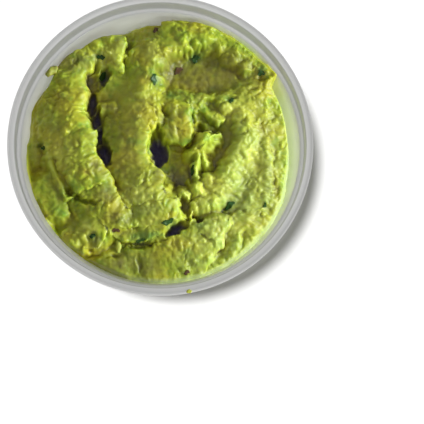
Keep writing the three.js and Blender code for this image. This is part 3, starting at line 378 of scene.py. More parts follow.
        (360, 20.8),
    ],
}


def smoothStep(x, low, high):
    t = np.clip((x - low) / (high - low), 0, 1)
    return t * t * (3 - 2 * t)


def smoothMax(a, b, k):
    return 0.5 * (a + b + np.hypot(a - b, k))


def smoothMin(a, b, k):
    return 0.5 * (a + b - np.hypot(a - b, k))


def cellValue(i, j, seed):  # from 0 to 1, the same each time for one cell
    v = np.sin(i * 127.1 + j * 311.7 + seed * 74.7) * 43758.5453
    return v - np.floor(v)


def waves(x, y, size, seed):  # smooth noise from about -1 to 1
    i, j = np.floor(x / size), np.floor(y / size)
    u, v = x / size - i, y / size - j

    def corner(di, dj):
        turn = cellValue(i + di, j + dj, seed) * 2 * math.pi
        return np.cos(turn) * (u - di) + np.sin(turn) * (v - dj)

    su, sv = u * u * u * (u * (6 * u - 15) + 10), v * v * v * (v * (6 * v - 15) + 10)
    low = corner(0, 0) * (1 - su) + corner(1, 0) * su
    high = corner(0, 1) * (1 - su) + corner(1, 1) * su
    return 1.5 * (low * (1 - sv) + high * sv)


def curds(x, y, size, seed):  # separate round lumps of uneven size, from 0 to 1 high
    i, j = np.floor(x / size), np.floor(y / size)
    best = np.zeros_like(x)
    for di in (-1, 0, 1):
        for dj in (-1, 0, 1):
            ci, cj = i + di, j + dj
            awayX = x - (ci + cellValue(ci, cj, seed)) * size
            awayY = y - (cj + cellValue(ci, cj, seed + 1)) * size
            large = cellValue(ci, cj, seed + 2)
            away = np.hypot(awayX, awayY) / (size * (0.25 + 0.35 * large))
            best = np.maximum(best, large * np.maximum(0, 1 - away * away))
    return best


def mash(x, y):  # rounded lumps with sharp creases between them, and curds in patches
    wx, wy = x.copy(), y.copy()
    for size, amount, seed in paste["warp"]:
        wx += amount * waves(x, y, size, seed)
        wy += amount * waves(x, y, size, seed + 1)
    total = np.zeros_like(x)
    for size, height, seed in paste["lumps"]:
        folded = np.sqrt(waves(wx, wy, size, seed) ** 2 + paste["lumpCrease"])
        total += height * (folded - paste["lumpMiddle"])
    patch = paste["curdPatches"]
    for size, height, seed in paste["curds"]:
        share = 0.5 + 0.5 * smoothStep(waves(x, y, patch["size"], seed), patch["few"], patch["many"])
        total += height * curds(wx, wy, size, seed) * share
    return total


def crestCurve(points):  # a smooth line through the points
    p = np.array(points, float)
    p = np.vstack([2 * p[0] - p[1], p, 2 * p[-1] - p[-2]])
    steps = 6
    line = []
    for k in range(1, len(p) - 2):
        for s in range(steps):
            t = s / steps
            line.append(0.5 * (2 * p[k] + (p[k + 1] - p[k - 1]) * t
                               + (2 * p[k - 1] - 5 * p[k] + 4 * p[k + 1] - p[k + 2]) * t ** 2
                               + (3 * p[k] - p[k - 1] - 3 * p[k + 1] + p[k + 2]) * t ** 3))
    line.append(p[-2])
    return np.array(line)


def edgeCurve(fold):  # the fold's edge before it leans over
    line = crestCurve(fold["edge"])
    along = np.gradient(line[:, :2], axis=0)
    along /= np.hypot(along[:, 0], along[:, 1])[:, None]
    line[:, 0] -= fold["lean"] * along[:, 1]
    line[:, 1] += fold["lean"] * along[:, 0]
    return line


def nearLine(line, x, y):
    # from the nearest point of the line: distance, height, side (1 on the right, -1 on the left),
    # the direction to the right, and how far x and y lie past the line's ends
    distance = np.full(x.shape, np.inf)
    height, side = np.zeros_like(x), np.zeros_like(x)
    nx, ny, beyond = np.zeros_like(x), np.zeros_like(x), np.zeros_like(x)
    last = len(line) - 2
    for k, (a, b) in enumerate(zip(line[:-1], line[1:])):
        dx, dy = b[0] - a[0], b[1] - a[1]
        span = math.hypot(dx, dy)
        along = ((x - a[0]) * dx + (y - a[1]) * dy) / span ** 2
        t = np.clip(along, 0, 1)
        px, py = x - a[0] - t * dx, y - a[1] - t * dy
        d = np.hypot(px, py)
        nearer = d < distance
        distance = np.where(nearer, d, distance)
        height = np.where(nearer, a[2] + t * (b[2] - a[2]), height)
        side = np.where(nearer, (px * dy - py * dx) / (span * np.maximum(d, 1e-6)), side)
        nx = np.where(nearer, dy / span, nx)
        ny = np.where(nearer, -dx / span, ny)
        atEnd = (k == 0) & (along < 0) | (k == last) & (along > 1)
        beyond = np.where(nearer, np.where(atEnd, np.abs(along - t) * span, 0), beyond)
    return distance, height, side, nx, ny, beyond


def ovalDistance(x, y, middleX, middleY, halfX, halfY, turn):  # 0 in an oval's middle, 1 on its edge
    dx, dy = x - middleX, y - middleY
    c, s = math.cos(turn), math.sin(turn)
    return np.hypot((dx * c + dy * s) / halfX, (dy * c - dx * s) / halfY)


def wallLineHeight(x, y):
    angle = (np.degrees(np.arctan2(y, x)) + 360) % 360
    z = np.zeros_like(angle)
    for (a0, z0), (a1, z1) in zip(paste["wallLine"][:-1], paste["wallLine"][1:]):
        inside = (angle >= a0) & (angle < a1)
        z = np.where(inside, z0 + (z1 - z0) * smoothStep(angle, a0, a1), z)
    around = np.radians(angle)
    circle = 50  # the waves are read along a circle about as wide as the wall
    for size, amount, seed in paste["edgeWander"]:
        z += amount * waves(circle * np.cos(around), circle * np.sin(around), size, seed)
    return np.minimum(z, paste["edgeTop"])


def foldHeight(fold, near):
    distance, top, side, _, _, beyond = near
    shoulder = fold["shoulder"]
    back = top + shoulder * (1 - np.exp(-distance / (paste["shoulderSpread"] * shoulder)))
    back -= fold["fall"] * (distance / fold["back"]) ** paste["powers"]["fall"]
    back -= np.maximum(0, distance - fold["back"]) * paste["behindSlope"]
    front = top - paste["frontSlope"] * distance
    share = smoothStep(side, -0.5, 0.5)
    return front * share + back * (1 - share) - beyond * fold.get("ending", paste["endSlope"])


def reliefPoint(x, y, edgeRadius):
    power, blend = paste["powers"], paste["blend"]
    wx, wy = x.copy(), y.copy()
    for size, amount, seed in paste["wander"]:
        wx += amount * waves(x, y, size, seed)
        wy += amount * waves(x, y, size, seed + 50)
    reach = np.hypot(x, y) / edgeRadius
    z = paste["base"]["middle"] + (paste["base"]["edge"] - paste["base"]["middle"]) * reach ** 2
    leaning = []
    for fold in paste["folds"].values():
        near = nearLine(edgeCurve(fold), wx, wy)
        height = foldHeight(fold, near)
        z = smoothMax(z, height, blend)
        leaning.append((fold["lean"], height, near))
    for ridge in paste["ridges"].values():
        distance, top, side = nearLine(crestCurve(ridge["crest"]), wx, wy)[:3]
        share = 0.5 + 0.5 * side
        width = ridge["left"] * (1 - share) + ridge["right"] * share
        z = smoothMax(z, top - ridge["drop"] * (distance / width) ** power["ridge"], blend)
    for bowl in paste["bowls"]:
        floor = bowl["floor"] + bowl["tilt"] * (wx - bowl["oval"][0])
        slope = bowl["depth"] * ovalDistance(wx, wy, *bowl["oval"]) ** bowl["power"]
        z = smoothMin(z, floor + slope, bowl["soft"])
    for mx, my, top, radius, rise in paste["mounds"]:
        d = np.hypot(wx - mx, wy - my) / radius
        z = smoothMax(z, top - rise * d ** power["mound"], paste["moundBlend"])
    for *oval, floor in paste["pockets"]:
        z = smoothMin(z, floor + paste["pocketRise"] * ovalDistance(wx, wy, *oval) ** power["pocket"], blend)
    for *oval, depth in paste["dents"]:
        z -= depth * np.exp(-ovalDistance(wx, wy, *oval) ** power["dent"])
    for groove in paste["grooves"]:
        distance = nearLine(np.array([(a, b, 0) for a, b in groove["line"]], float), wx, wy)[0]
        z -= groove["depth"] * np.exp(-(distance / groove["width"]) ** 2)
    rough = np.ones_like(x)
    for *oval, least in paste["calm"]:
        outside = smoothStep(ovalDistance(x, y, *oval), *paste["calmEdge"])
        rough = np.minimum(rough, least + (1 - least) * outside)
    z += mash(x, y) * rough
    shiftX, shiftY = np.zeros_like(x), np.zeros_like(x)
    for lean, height, (distance, _, side, nx, ny, _) in leaning:  # the folds' edges lean over their fronts
        width = np.where(side > 0, paste["leanReach"]["front"], paste["leanReach"]["back"])
        grip = 1 - smoothStep(distance, 0, width)
        covered = np.exp(-np.maximum(0, z - height - 1))  # none where another form lies over the edge
        shiftX += nx * lean * grip * covered
        shiftY += ny * lean * grip * covered
    rim = smoothStep((1 - reach) * edgeRadius, 0, paste["edgeBlend"])
    line = wallLineHeight(x, y)
    return x + shiftX * rim, y + shiftY * rim, line + (z - line) * rim


def squareToDisc(a, b):  # a square grid pressed round, so that its cells stay nearly equal
    wide = np.abs(a) > np.abs(b)
    r = np.where(wide, a, b)
    safe = np.where(r == 0, 1, r)
    turn = np.where(wide, (math.pi / 4) * b / safe, math.pi / 2 - (math.pi / 4) * a / safe)
    return r * np.cos(turn), r * np.sin(turn)


def meshObject(name, vertices, faces):
    mesh = bpy.data.meshes.new(name)
    mesh.from_pydata(vertices, [], faces)
    mesh.validate()
    mesh.shade_smooth()
    made = bpy.data.objects.new(name, mesh)
    bpy.context.collection.objects.link(made)
    return made


def ringMesh(name, rings):  # a skin over rings of points; a ring of one point closes an end
    vertices, faces, indices = [], [], []
    for ring in rings:
        indices.append(range(len(vertices), len(vertices) + len(ring)))
        vertices += ring
    for below, above in zip(indices[:-1], indices[1:]):
        count = max(len(below), len(above))
        for k in range(count):
            n = (k + 1) % count
            if len(below) == 1:
                faces.append((below[0], above[n], above[k]))
            elif len(above) == 1:
                faces.append((below[k], below[n], above[0]))
            else:
                faces.append((below[k], below[n], above[n], above[k]))
    return meshObject(name, vertices, faces)


def addAttribute(made, name, values):  # a number for each vertex of the top, and 0 for the rest
    spare = len(made.data.vertices) - len(values)
    layer = made.data.attributes.new(name, "FLOAT", "POINT")
    layer.data.foreach_set("value", np.concatenate([values, np.zeros(spare)]))


def blurred(values, n, radius):  # a grid's values spread over a radius given in cells
    grid = values.reshape(n + 1, n + 1)
    width = 2 * radius + 1
    for axis in (0, 1):
        for _ in range(3):
            margins = [(radius + 1, radius) if k == axis else (0, 0) for k in (0, 1)]
            total = np.cumsum(np.pad(grid, margins, mode="edge"), axis=axis)
            grid = (np.take(total, range(width, total.shape[axis]), axis)
                    - np.take(total, range(0, total.shape[axis] - width), axis)) / width
    return grid.ravel()


def pasteMesh(n, x, y, z):  # the top's grid, with a side and a bottom that fill the tub
    index = np.arange((n + 1) ** 2).reshape(n + 1, n + 1)
    faces = [(index[j, i], index[j, i + 1], index[j + 1, i + 1], index[j + 1, i])
             for j in range(n) for i in range(n)]
    ring = list(index[0, :-1]) + list(index[:-1, n]) + list(index[n, :0:-1]) + list(index[:0:-1, 0])
    points = [np.column_stack([x, y, z])]
    angle = np.arctan2(y[ring], x[ring])
    bottom, corner = tub["floor"], tub["corner"]
    levels = [(wallRadius(h) + paste["intoWall"], h) for h in (*paste["sideHeights"], bottom + corner)]
    levels += [(wallRadius(bottom) - corner * 0.35, bottom + corner * 0.25),  # half round the tub's corner
               (wallRadius(bottom) - corner, bottom)]
    count = (n + 1) ** 2
    for radius, height in levels:
        lower = list(range(count, count + len(ring)))
        level = np.full(len(ring), height)
        points.append(np.column_stack([radius * np.cos(angle), radius * np.sin(angle), level]))
        for k in range(len(ring)):
            t = (k + 1) % len(ring)
            faces.append((ring[k], lower[k], lower[t], ring[t]))
        ring = lower
        count += len(ring)
    points.append(np.array([[0, 0, bottom]]))
    faces += [(ring[k], count, ring[(k + 1) % len(ring)]) for k in range(len(ring))]
    return meshObject("guacamolePaste", (np.vstack(points) * mm).tolist(), faces)


def makePaste():
    n = paste["cells"]
    a, b = np.meshgrid(np.linspace(-1, 1, n + 1), np.linspace(-1, 1, n + 1))
    u, v = squareToDisc(a.ravel(), b.ravel())
    edgeRadius = wallRadius(wallLineHeight(u, v)) + paste["intoWall"]
    x, y, z = reliefPoint(u * edgeRadius, v * edgeRadius, edgeRadius)
    made = pasteMesh(n, x, y, z)
    # what the colours need: how deep each point lies, for painted shade in the hollows and a painted
    # highlight on the crests, and its stains, some of them painted light and shade
    cell = 2 * tub["ledgeInner"] / n
    share = paste["creaseShare"]
    fromRim = 1 - np.hypot(u, v)
    inner = smoothStep(fromRim, 0, paste["plainRim"])
    hollow = (blurred(z, n, round(paste["hollowReach"] / cell)) - z) * inner
    crease = (blurred(z, n, round(share * paste["hollowReach"] / cell)) - z) * inner
    addAttribute(made, "hollow", hollow / paste["hollowDepth"])
    addAttribute(made, "crease", crease / (share * paste["hollowDepth"]))
    deepShade = smoothStep(-z, *paste["deepShade"]["height"]) * smoothStep(-np.hypot(x, y), *paste["deepShade"]["radius"])
    addAttribute(made, "deepShade", deepShade)
    film = paste["film"]
    around = smoothStep(np.cos(np.arctan2(y, x) - film["middle"]), *film["spread"])
    addAttribute(made, "film", smoothStep(-fromRim * edgeRadius, *film["distance"]) * around)
    patchy = 0.75 + 0.5 * waves(x, y, *paste["stainPatches"])
    for name, spots in paste["stains"].items():
        stain = np.zeros_like(z)
        for *oval, amount in spots:
            inside = amount * np.exp(-ovalDistance(x, y, *oval) ** paste["powers"]["stain"]) * patchy
            stain = np.maximum(stain, inside)
        if name == "creviceShade":  # painted shade, only down in the hollows
            stain *= smoothStep(hollow, *paste["creviceShadeDepth"])
        addAttribute(made, name, stain)
    print("paste:", len(made.data.polygons), "faces")
    return made


flake = {
    "across": 10,  # cells along and across a flake
    "wide": 4,
    "tip": 0.97,  # where its ends are cut, as a share of half its length
    "ragged": 0.28,
    "bend": 0.2,
    "wave": 0.16,
    "step": 1.2,  # the most that it climbs or falls from its middle
    "under": -0.45,  # its lower side, in the paste
    "roughness": 0.45,
}
toppings = {  # middle x and y, turn, length and width of each
    "herbFlakes": {
        "color": (0.03, 0.08, 0.014),
        "rise": 0.4,
        "spots": [(-23, 30, 0.6, 3.6, 2.2), (-2.5, 26.5, 1.4, 4.6, 2), (14, 36.5, 1.1, 3.6, 2.2),
                  (-23.5, 36.5, 0.1, 3.4, 1.6), (12.5, -7.5, 1.5, 5.4, 1.8), (2.5, -29, 0.3, 5, 1.8),
                  (27.5, 18.5, 0.4, 2.6, 1.6), (27, -22, 0.5, 4.6, 2), (39.5, 29.5, 0.2, 3, 1.8),
                  (-26.5, -34, 1, 2.4, 1.8), (-46, 1, 0.2, 2.2, 1.2), (40.5, -22, 1.2, 2, 1.2),
                  (-8, -35.6, 0.1, 4, 1)],
    },
    "redBits": {
        "color": (0.1, 0.055, 0.025),
        "rise": 0.3,
        "spots": [(-2, 47.5, 0.6, 2.8, 1.8), (7, 32, 0.5, 4, 2), (-17.5, -32, 0.1, 3.4, 1.2),
                  (10, -48, 1.2, 2.2, 1.6)],
    },
}


def surfaceHeight(surface, x, y):  # looks straight down on the paste from above the tub
    above = 80
    hit = surface.ray_cast(Vector((x * mm, y * mm, above * mm)), Vector((0, 0, -1)))[0]
    return hit.z / mm


def makeFlakes(name, surface):  # thin wavy flakes that lie on the paste
    kind = toppings[name]
    across, wide, tip = flake["across"], flake["wide"], flake["tip"]
    row = wide + 1
    edge = [i * row for i in range(across + 1)] + [across * row + j for j in range(1, row)]
    edge += [i * row + wide for i in range(across - 1, -1, -1)] + list(range(wide - 1, 0, -1))
    vertices, faces = [], []
    for number, (x, y, turn, length, width) in enumerate(kind["spots"]):
        c, s = math.cos(turn), math.sin(turn)
        middle = surfaceHeight(surface, x, y)
        start = len(vertices)
        for side in (1, -1):
            for i in range(across + 1):
                a = 2 * tip * i / across - tip
                ragged = 1 + flake["ragged"] * math.sin(6 * a + 2 * number)
                half = 0.5 * width * (1 - a * a) ** 0.6 * ragged
                for j in range(row):
                    b = 2 * j / wide - 1
                    lx = 0.5 * length * a
                    ly = half * b + flake["bend"] * width * math.sin(2.2 * a + number)
                    px, py = x + lx * c - ly * s, y + lx * s + ly * c
                    level = surfaceHeight(surface, px, py)
                    z = min(max(level, middle - flake["step"]), middle + flake["step"])
                    wave = flake["wave"] * math.sin(4 * a + 2 * b + number)
                    z += kind["rise"] + wave if side > 0 else flake["under"]
                    vertices.append((px * mm, py * mm, z * mm))
        lower = start + (across + 1) * row
        for i in range(across):
            for j in range(wide):
                k = i * row + j
                faces.append((start + k, start + k + row, start + k + row + 1, start + k + 1))
                faces.append((lower + k, lower + k + 1, lower + k + row + 1, lower + k + row))
        for k, a in enumerate(edge):
            b = edge[(k + 1) % len(edge)]
            faces.append((start + a, lower + a, lower + b, start + b))
    made = meshObject(name, vertices, faces)
    made.data.materials.append(plainMaterial(name + "Skin", kind["color"], flake["roughness"]))
    print(name + ":", len(kind["spots"]))
    return made


crumbs = {  # middle, direction of the long side, half sizes; a crumb with a rise lies on the paste
    "stalk": dict(at=(-16.7, -37, 0), along=(0.05, -1, -0.12), half=(3.2, 1.1, 0.95), knobs=0.12, rise=0.8,
                  color=(0.42, 0.47, 0.07)),
    "wallDab": dict(at=(-42.7, 30.6, 36.4), along=(0.75, 0.62, -0.2), half=(2.9, 1.5, 1.2), knobs=0.22,
                    color=(0.3, 0.31, 0.05)),
    "rimDab": dict(at=(10.4, -57.0, 45.7), along=(1, 0.1, 0), half=(1.1, 0.8, 0.5), knobs=0.12,
                   color=(0.4, 0.42, 0.05)),
}
crumbShape = {"rings": 14, "steps": 20, "roughness": 0.5}


def makeCrumb(name, surface):  # a small knobbly lump
    crumb = crumbs[name]
    at = Vector(crumb["at"])
    if "rise" in crumb:
        at.z = surfaceHeight(surface, at.x, at.y) + crumb["rise"]
    along = Vector(crumb["along"]).normalized()
    aside = Vector((0, 0, 1)).cross(along).normalized()
    upward = along.cross(aside)
    long, wide, high = crumb["half"]
    count, steps = crumbShape["rings"], crumbShape["steps"]
    rings = [[tuple((at - along * long) * mm)]]
    for i in range(1, count):
        tilt = math.pi * i / count
        u = -math.cos(tilt)
        rings.append([])
        for k in range(steps):
            turn = 2 * math.pi * k / steps
            knob = 1 + crumb["knobs"] * (math.sin(5 * u + 2 * turn) + 0.7 * math.sin(9 * u + 1.3 - 3 * turn))
            r = math.sin(tilt) ** 0.6 * knob
            p = along * (u * long) + aside * (r * math.cos(turn) * wide)
            p += upward * (r * math.sin(turn) * high)
            rings[-1].append(tuple((at + p) * mm))
    rings.append([tuple((at + along * long) * mm)])
    made = ringMesh(name, rings)
    made.data.materials.append(plainMaterial(name + "Skin", crumb["color"], crumbShape["roughness"]))
    return made


def arc(cx, cz, radius, start, end, steps):
    turns = [start + (end - start) * k / steps for k in range(steps + 1)]
    return [(cx + radius * math.cos(t), cz + radius * math.sin(t)) for t in turns]


def tubProfile():  # (radius, height), from the foot's middle up the outside and down the inside
    t, wall, lean, pi = tub, tub["wall"], tub["taper"], math.pi
    slope = math.tan(lean)
    foot = t["ledgeInner"] - t["ledgeHeight"] * slope + wall
    top, bead = t["height"], t["beadRadius"]
    edge = t["rimRadius"] - bead
    under = top - t["skirtDepth"]
    lip, ledge, ledgeInner = t["ledgeOuter"], t["ledgeHeight"], t["ledgeInner"]
    footRound, heel, cut, inward = t["footRound"], t["heelRound"], t["stepCut"], t["stepRound"]
    floor, corner = t["floor"], t["corner"]
    step = ledge - wall  # the ledge's underside
    profile = [(0, t["footRecess"]), (t["footInner"] - 1.5, t["footRecess"])]
    profile += arc(t["footInner"] + 0.3, footRound, footRound, 0.9 * pi, 1.5 * pi, 5)
    profile += arc(foot - heel, heel, heel, -0.5 * pi, -lean, 6)
    profile += [(foot + slope * h, h) for h in t["outsideHeights"]]
    profile += [(wallRadius(step - cut) + wall, step - cut), (wallRadius(step) + wall + 0.3, step)]
    profile += [(lip + wall - 0.4, step + 0.1), (lip + wall, step + cut), (lip + wall + 0.05, under - 1.4)]
    profile += [(edge + bead - 0.35, under - 0.3), (edge + bead, under + 0.3), (edge + bead, top - 1.2)]
    profile += arc(edge, top - bead, bead, 0, 0.5 * pi, 6)[1:]
    profile += [(edge - 1.0, top - 0.02)]
    profile += arc(lip + 0.55, top - 1.2, t["lipRound"], 0.5 * pi, pi, 5)
    profile += [(lip - 0.25, ledge + 1.2)]
    profile += arc(lip - 0.75, ledge + t["ledgeRound"], t["ledgeRound"], 0, -0.5 * pi, 4)
    profile += arc(ledgeInner + inward, ledge - inward, inward, 0.5 * pi, pi - lean, 4)
    profile += [(wallRadius(h), h) for h in t["insideHeights"]]
    profile += arc(wallRadius(floor) - corner, floor + corner, corner, -lean, -0.5 * pi, 6)
    profile += [(0, floor)]
    return profile


def makeTub():
    turns = [2 * math.pi * k / tub["segments"] for k in range(tub["segments"])]
    rings = []
    for radius, height in tubProfile():
        around = turns if radius > 0 else [0]
        rings.append([(radius * math.cos(t) * mm, radius * math.sin(t) * mm, height * mm) for t in around])
    made = ringMesh("guacamoleTub", rings)
    print("tub:", len(made.data.polygons), "faces")
    return made


def newMaterial(name, values):
    material = bpy.data.materials.new(name)
    material.use_nodes = True
    shader = material.node_tree.nodes["Principled BSDF"]
    fillInputs(material.node_tree, shader, values)
    return material, material.node_tree, shader


def fillInputs(tree, node, values):  # another node's output is linked, and a number or a colour is set
    for name, value in values.items():
        if isinstance(value, bpy.types.NodeSocket):
            tree.links.new(value, node.inputs[name])
        else:
            node.inputs[name].default_value = value


def addNode(tree, kind, values, **settings):
    node = tree.nodes.new("ShaderNode" + kind)
    for name, value in settings.items():
        setattr(node, name, value)
    fillInputs(tree, node, values)
    return node


def plainMaterial(name, color, roughness):  # for the moist crumbs and flakes
    return newMaterial(name, {"Base Color": (*color, 1), "Roughness": roughness, "Specular IOR Level": 0.25,
                              "Subsurface Weight": 0.3, "Subsurface Scale": 0.001})[0]


def rampColor(tree, factor, stops):  # a colour for each value between the stops' positions
    ramp = addNode(tree, "ValToRGB", {"Fac": factor})
    elements = ramp.color_ramp.elements
    while len(elements) < len(stops):
        elements.new(0.5)
    for element, (position, color) in zip(elements, stops):
        element.position = position
        element.color = (*color, 1)
    return ramp.outputs["Color"]


def fittedRamp(tree, value, stops):  # the same for stops that don't lie between 0 and 1
    low, high = stops[0][0], stops[-1][0]
    fit = addNode(tree, "MapRange", {"From Min": low, "From Max": high, "Value": value})
    shares = [((position - low) / (high - low), color) for position, color in stops]
    return rampColor(tree, fit.outputs["Result"], shares)


def attributeValue(tree, name):
    return addNode(tree, "Attribute", {}, attribute_name=name).outputs["Fac"]


def mixColors(tree, factor, under, over, kind="MIX"):
    values = {"Factor": factor, "A": under, "B": over}
    return addNode(tree, "Mix", values, data_type="RGBA", blend_type=kind).outputs["Result"]


pasteLook = {
    "skin": {"Roughness": 0.5, "Specular IOR Level": 0.42, "Subsurface Weight": 1.0,
             "Subsurface Radius": (1.0, 1.0, 0.45), "Subsurface Scale": 0.003},
    "baseScale": 85,
    "base": [(0.36, (0.3, 0.385, 0.02)), (0.5, (0.37, 0.41, 0.021)), (0.64, (0.44, 0.415, 0.023))],
    "patches": [(190, (0.54, 0.68), (0.28, 0.27, 0.02, 1)),  # scale, from and to which noise, colour
                (230, (0.56, 0.7), (0.18, 0.34, 0.022, 1)),
                (260, (0.57, 0.72), (0.57, 0.56, 0.035, 1))],
    "patchAmount": 0.55,
    # stain colours: real stains, and colours of painted light and painted shade
    "stains": {"ochre": (0.52, 0.4, 0.03, 1), "brownAndShade": (0.215, 0.205, 0.035, 1),
               "leaf": (0.09, 0.23, 0.045, 1), "limeAndLight": (0.45, 0.54, 0.13, 1),
               "paintedLight": (0.6, 0.64, 0.1, 1), "creviceShade": (0.1, 0.09, 0.14, 1),
               "paintedShade": (0.15, 0.13, 0.03, 1), "film": (0.4, 0.46, 0.2, 1)},
    # colour of the painted shade on the deep bottoms
    "deepShade": (0.21, 0.18, 0.34, 1),
    # what the colours are multiplied by: a painted highlight on crests (below 0) and painted shade in
    # hollows (above 0)
    "hollow": [(-0.5, (1.1, 1.15, 1.1)), (0.0, (1, 1, 1)), (0.35, (0.92, 0.84, 0.95)),
               (0.8, (0.8, 0.72, 1.2))],
    "crease": [(-0.6, (1.12, 1.15, 1.7)), (0.0, (1, 1, 1)), (0.8, (0.85, 0.82, 0.9))],
    "softBits": {"scale": 480, "smoothness": 0.6, "strength": 0.08, "height": 0.0009},
    "softBitsWarp": {"scale": 300, "amount": 0.0035},
    "grain": {"scale": 1100, "strength": 0.25, "height": 0.0003},
}


def pasteMaterial():
    look = pasteLook
    material, tree, shader = newMaterial("avocadoPaste", look["skin"])
    place = addNode(tree, "TexCoord", {}).outputs["Object"]

    def noise(scale, detail):
        return addNode(tree, "TexNoise", {"Vector": place, "Scale": scale, "Detail": detail}).outputs

    color = rampColor(tree, noise(look["baseScale"], 5)["Fac"], look["base"])
    for scale, (low, high), patchColor in look["patches"]:
        fit = addNode(tree, "MapRange", {"From Min": low, "From Max": high, "To Max": look["patchAmount"],
                                         "Value": noise(scale, 3)["Fac"]})
        color = mixColors(tree, fit.outputs["Result"], color, patchColor)
    for name, stainColor in look["stains"].items():
        color = mixColors(tree, attributeValue(tree, name), color, stainColor)
    # painted shade in hollows and creases, painted highlight on crests
    hollow = fittedRamp(tree, attributeValue(tree, "hollow"), look["hollow"])
    crease = fittedRamp(tree, attributeValue(tree, "crease"), look["crease"])
    color = mixColors(tree, 1, color, hollow, "MULTIPLY")
    # painted shade over the deep bottoms
    color = mixColors(tree, attributeValue(tree, "deepShade"), color, look["deepShade"])
    color = mixColors(tree, 1, color, crease, "MULTIPLY")

    bits, grain, amount = look["softBits"], look["grain"], look["softBitsWarp"]["amount"]
    warp = noise(look["softBitsWarp"]["scale"], 2)["Color"]
    shifted = addNode(tree, "VectorMath", {0: warp, 1: [amount] * 3, 2: place}, operation="MULTIPLY_ADD")
    cells = addNode(tree, "TexVoronoi", {"Vector": shifted.outputs["Vector"], "Scale": bits["scale"],
                                         "Smoothness": bits["smoothness"]}, feature="SMOOTH_F1")
    coarse = addNode(tree, "Bump", {"Strength": bits["strength"], "Distance": bits["height"],
                                    "Height": cells.outputs["Distance"]}, invert=True)
    fine = addNode(tree, "Bump", {"Strength": grain["strength"], "Distance": grain["height"],
                                  "Height": noise(grain["scale"], 3)["Fac"],
                                  "Normal": coarse.outputs["Normal"]})
    fillInputs(tree, shader, {"Base Color": color, "Normal": fine.outputs["Normal"]})
    return material


tubLook = {
    "roughness": 0.35,
    "tint": (0.98, 1, 0.97),
    # radius, shade, opacity: the plastic is thicker and more opaque where the ledge and the bead turn, and
    # dark lines of painted shade lie there
    "rings": [(49.6, 0.86, 0.38), (51.8, 0.86, 0.46), (53.7, 0.86, 0.58), (54.1, 0.56, 0.7),
              (54.8, 0.8, 0.66), (55.3, 0.8, 0.66), (55.65, 0.48, 0.76), (56.1, 0.78, 0.8),
              (56.8, 0.7, 0.8), (57.6, 0.56, 0.8), (58.2, 0.66, 0.82), (58.6, 0.6, 0.85)],
}


def tubMaterial():
    material, tree, shader = newMaterial("milkyPlastic", {"Roughness": tubLook["roughness"]})
    place = addNode(tree, "TexCoord", {}).outputs["Object"]
    flat = addNode(tree, "VectorMath", {0: place, 1: (1, 1, 0)}, operation="MULTIPLY")
    radius = addNode(tree, "VectorMath", {0: flat.outputs["Vector"]}, operation="LENGTH").outputs["Value"]
    # dark rings of painted shade where the ledge and the bead turn
    shades = [(r * mm, [shade * part for part in tubLook["tint"]]) for r, shade, _ in tubLook["rings"]]
    opacities = [(r * mm, [opacity] * 3) for r, _, opacity in tubLook["rings"]]
    fillInputs(tree, shader, {"Base Color": fittedRamp(tree, radius, shades),
                              "Alpha": fittedRamp(tree, radius, opacities)})
    return material


view = {
    "elevation": math.radians(77.7),
    "distance": 0.5,  # from the middle of the rim
    "focal": 1307.0,  # in pixels of the 424 pixel frame
    "rimMiddle": (161.0, 142.3),  # where the middle of the rim lies in the frame, in pixels
    "frame": 424.0,
    "sensor": 36,
    "clip": (0.02, 10),
}


def makeCamera():
    data = bpy.data.cameras.new("camera")
    camera = bpy.data.objects.new("camera", data)
    bpy.context.collection.objects.link(camera)
    data.sensor_width = view["sensor"]
    data.lens = view["focal"] / view["frame"] * data.sensor_width
    data.clip_start, data.clip_end = view["clip"]
    e = view["elevation"]
    rim = Vector((0, 0, tub["height"] * mm))
    right = Vector((1, 0, 0))
    upward = Vector((0, math.sin(e), math.cos(e)))
    back = Vector((0, -math.cos(e), math.sin(e)))
    camera.location = rim + back * view["distance"]
    # aimed beside the rim's middle, so that it comes to lie off the frame's middle
    half = view["frame"] / 2
    aside = (half - view["rimMiddle"][0]) / view["focal"]
    above = (view["rimMiddle"][1] - half) / view["focal"]
    back = (back - right * aside - upward * above).normalized()
    right = upward.cross(back).normalized()
    turn = Matrix((right, back.cross(right), back)).transposed()
    camera.rotation_mode = "QUATERNION"
    camera.rotation_quaternion = turn.to_quaternion()
    bpy.context.scene.camera = camera


studio = {
    "floorSize": 3,
    "floor": {"Base Color": (0.32, 0.32, 0.32, 1), "Roughness": 0.9},
    "world": (1.0, 0.97, 1.0, 1),
    "worldStrength": 0.46,
    "suns": {  # energy, softness, azimuth and elevation in degrees, colour
        "key": (4.8, 18, -8, 24, (0.91, 0.98, 0.97)),
        "fill": (0.8, 30, 150, 55, (1, 1, 1)),
        "front": (0.9, 30, -60, 35, (1, 1, 1)),
        "overhead": (8.9, 8, 197, 79.5, (1, 1, 1)),
    },
}


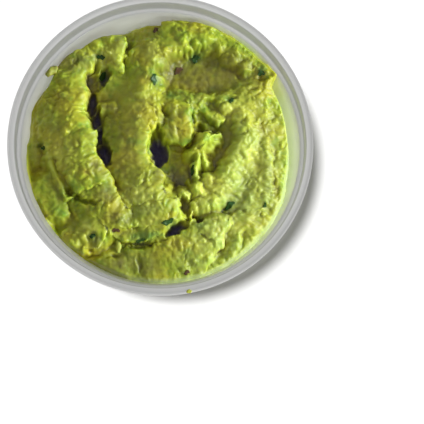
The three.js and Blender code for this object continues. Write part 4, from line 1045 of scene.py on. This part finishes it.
def makeFloor():
    s = studio["floorSize"]
    floor = meshObject("floor", [(-s, -s, 0), (s, -s, 0), (s, s, 0), (-s, s, 0)], [(0, 1, 2, 3)])
    floor.data.materials.append(newMaterial("paleFloor", studio["floor"])[0])
    return floor


def makeSun(name):
    energy, softness, azimuth, elevation, color = studio["suns"][name]
    data = bpy.data.lights.new(name, "SUN")
    data.energy = energy
    data.angle = math.radians(softness)
    data.color = color
    lamp = bpy.data.objects.new(name, data)
    a, e = math.radians(azimuth), math.radians(elevation)
    towards = Vector((math.cos(a) * math.cos(e), math.sin(a) * math.cos(e), math.sin(e)))
    lamp.rotation_mode = "QUATERNION"
    lamp.rotation_quaternion = towards.to_track_quat("Z", "Y")
    bpy.context.collection.objects.link(lamp)
    return lamp


def makeLights(floor, tubPiece, foodPieces):
    world = bpy.data.worlds.new("studio")
    world.use_nodes = True
    background = world.node_tree.nodes["Background"]
    background.inputs["Color"].default_value = studio["world"]
    background.inputs["Strength"].default_value = studio["worldStrength"]
    bpy.context.scene.world = world
    lightsAndShades = {  # what each sun lights, and what throws a shadow in it
        "key": (foodPieces, foodPieces),
        "fill": ([tubPiece], []),
        "front": ([tubPiece], []),
        "overhead": ([floor], foodPieces + [tubPiece]),
    }
    for name, members in lightsAndShades.items():
        lamp = makeSun(name)
        for kind, pieces in zip(("receiver", "blocker"), members):
            group = bpy.data.collections.new(name + kind)
            for piece in pieces:
                group.objects.link(piece)
            setattr(lamp.light_linking, kind + "_collection", group)
    bpy.context.scene.view_settings.view_transform = "Standard"
    print("camera, floor and", len(lightsAndShades), "suns")


makeCamera()

pasteObject = makePaste()
pasteObject.data.materials.append(pasteMaterial())
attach(pasteObject, "root")
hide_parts("guacamole")

pasteSurface = BVHTree.FromPolygons([v.co for v in pasteObject.data.vertices],
                                    [p.vertices for p in pasteObject.data.polygons])
extras = [makeFlakes(name, pasteSurface) for name in toppings]
extras += [makeCrumb(name, pasteSurface) for name in crumbs]
for extra in extras:
    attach(extra, "root")
    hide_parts("guacamole")

tubObject = makeTub()
tubObject.data.materials.append(tubMaterial())
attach(tubObject, "root")
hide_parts("tub")

makeLights(makeFloor(), tubObject, [pasteObject] + extras)
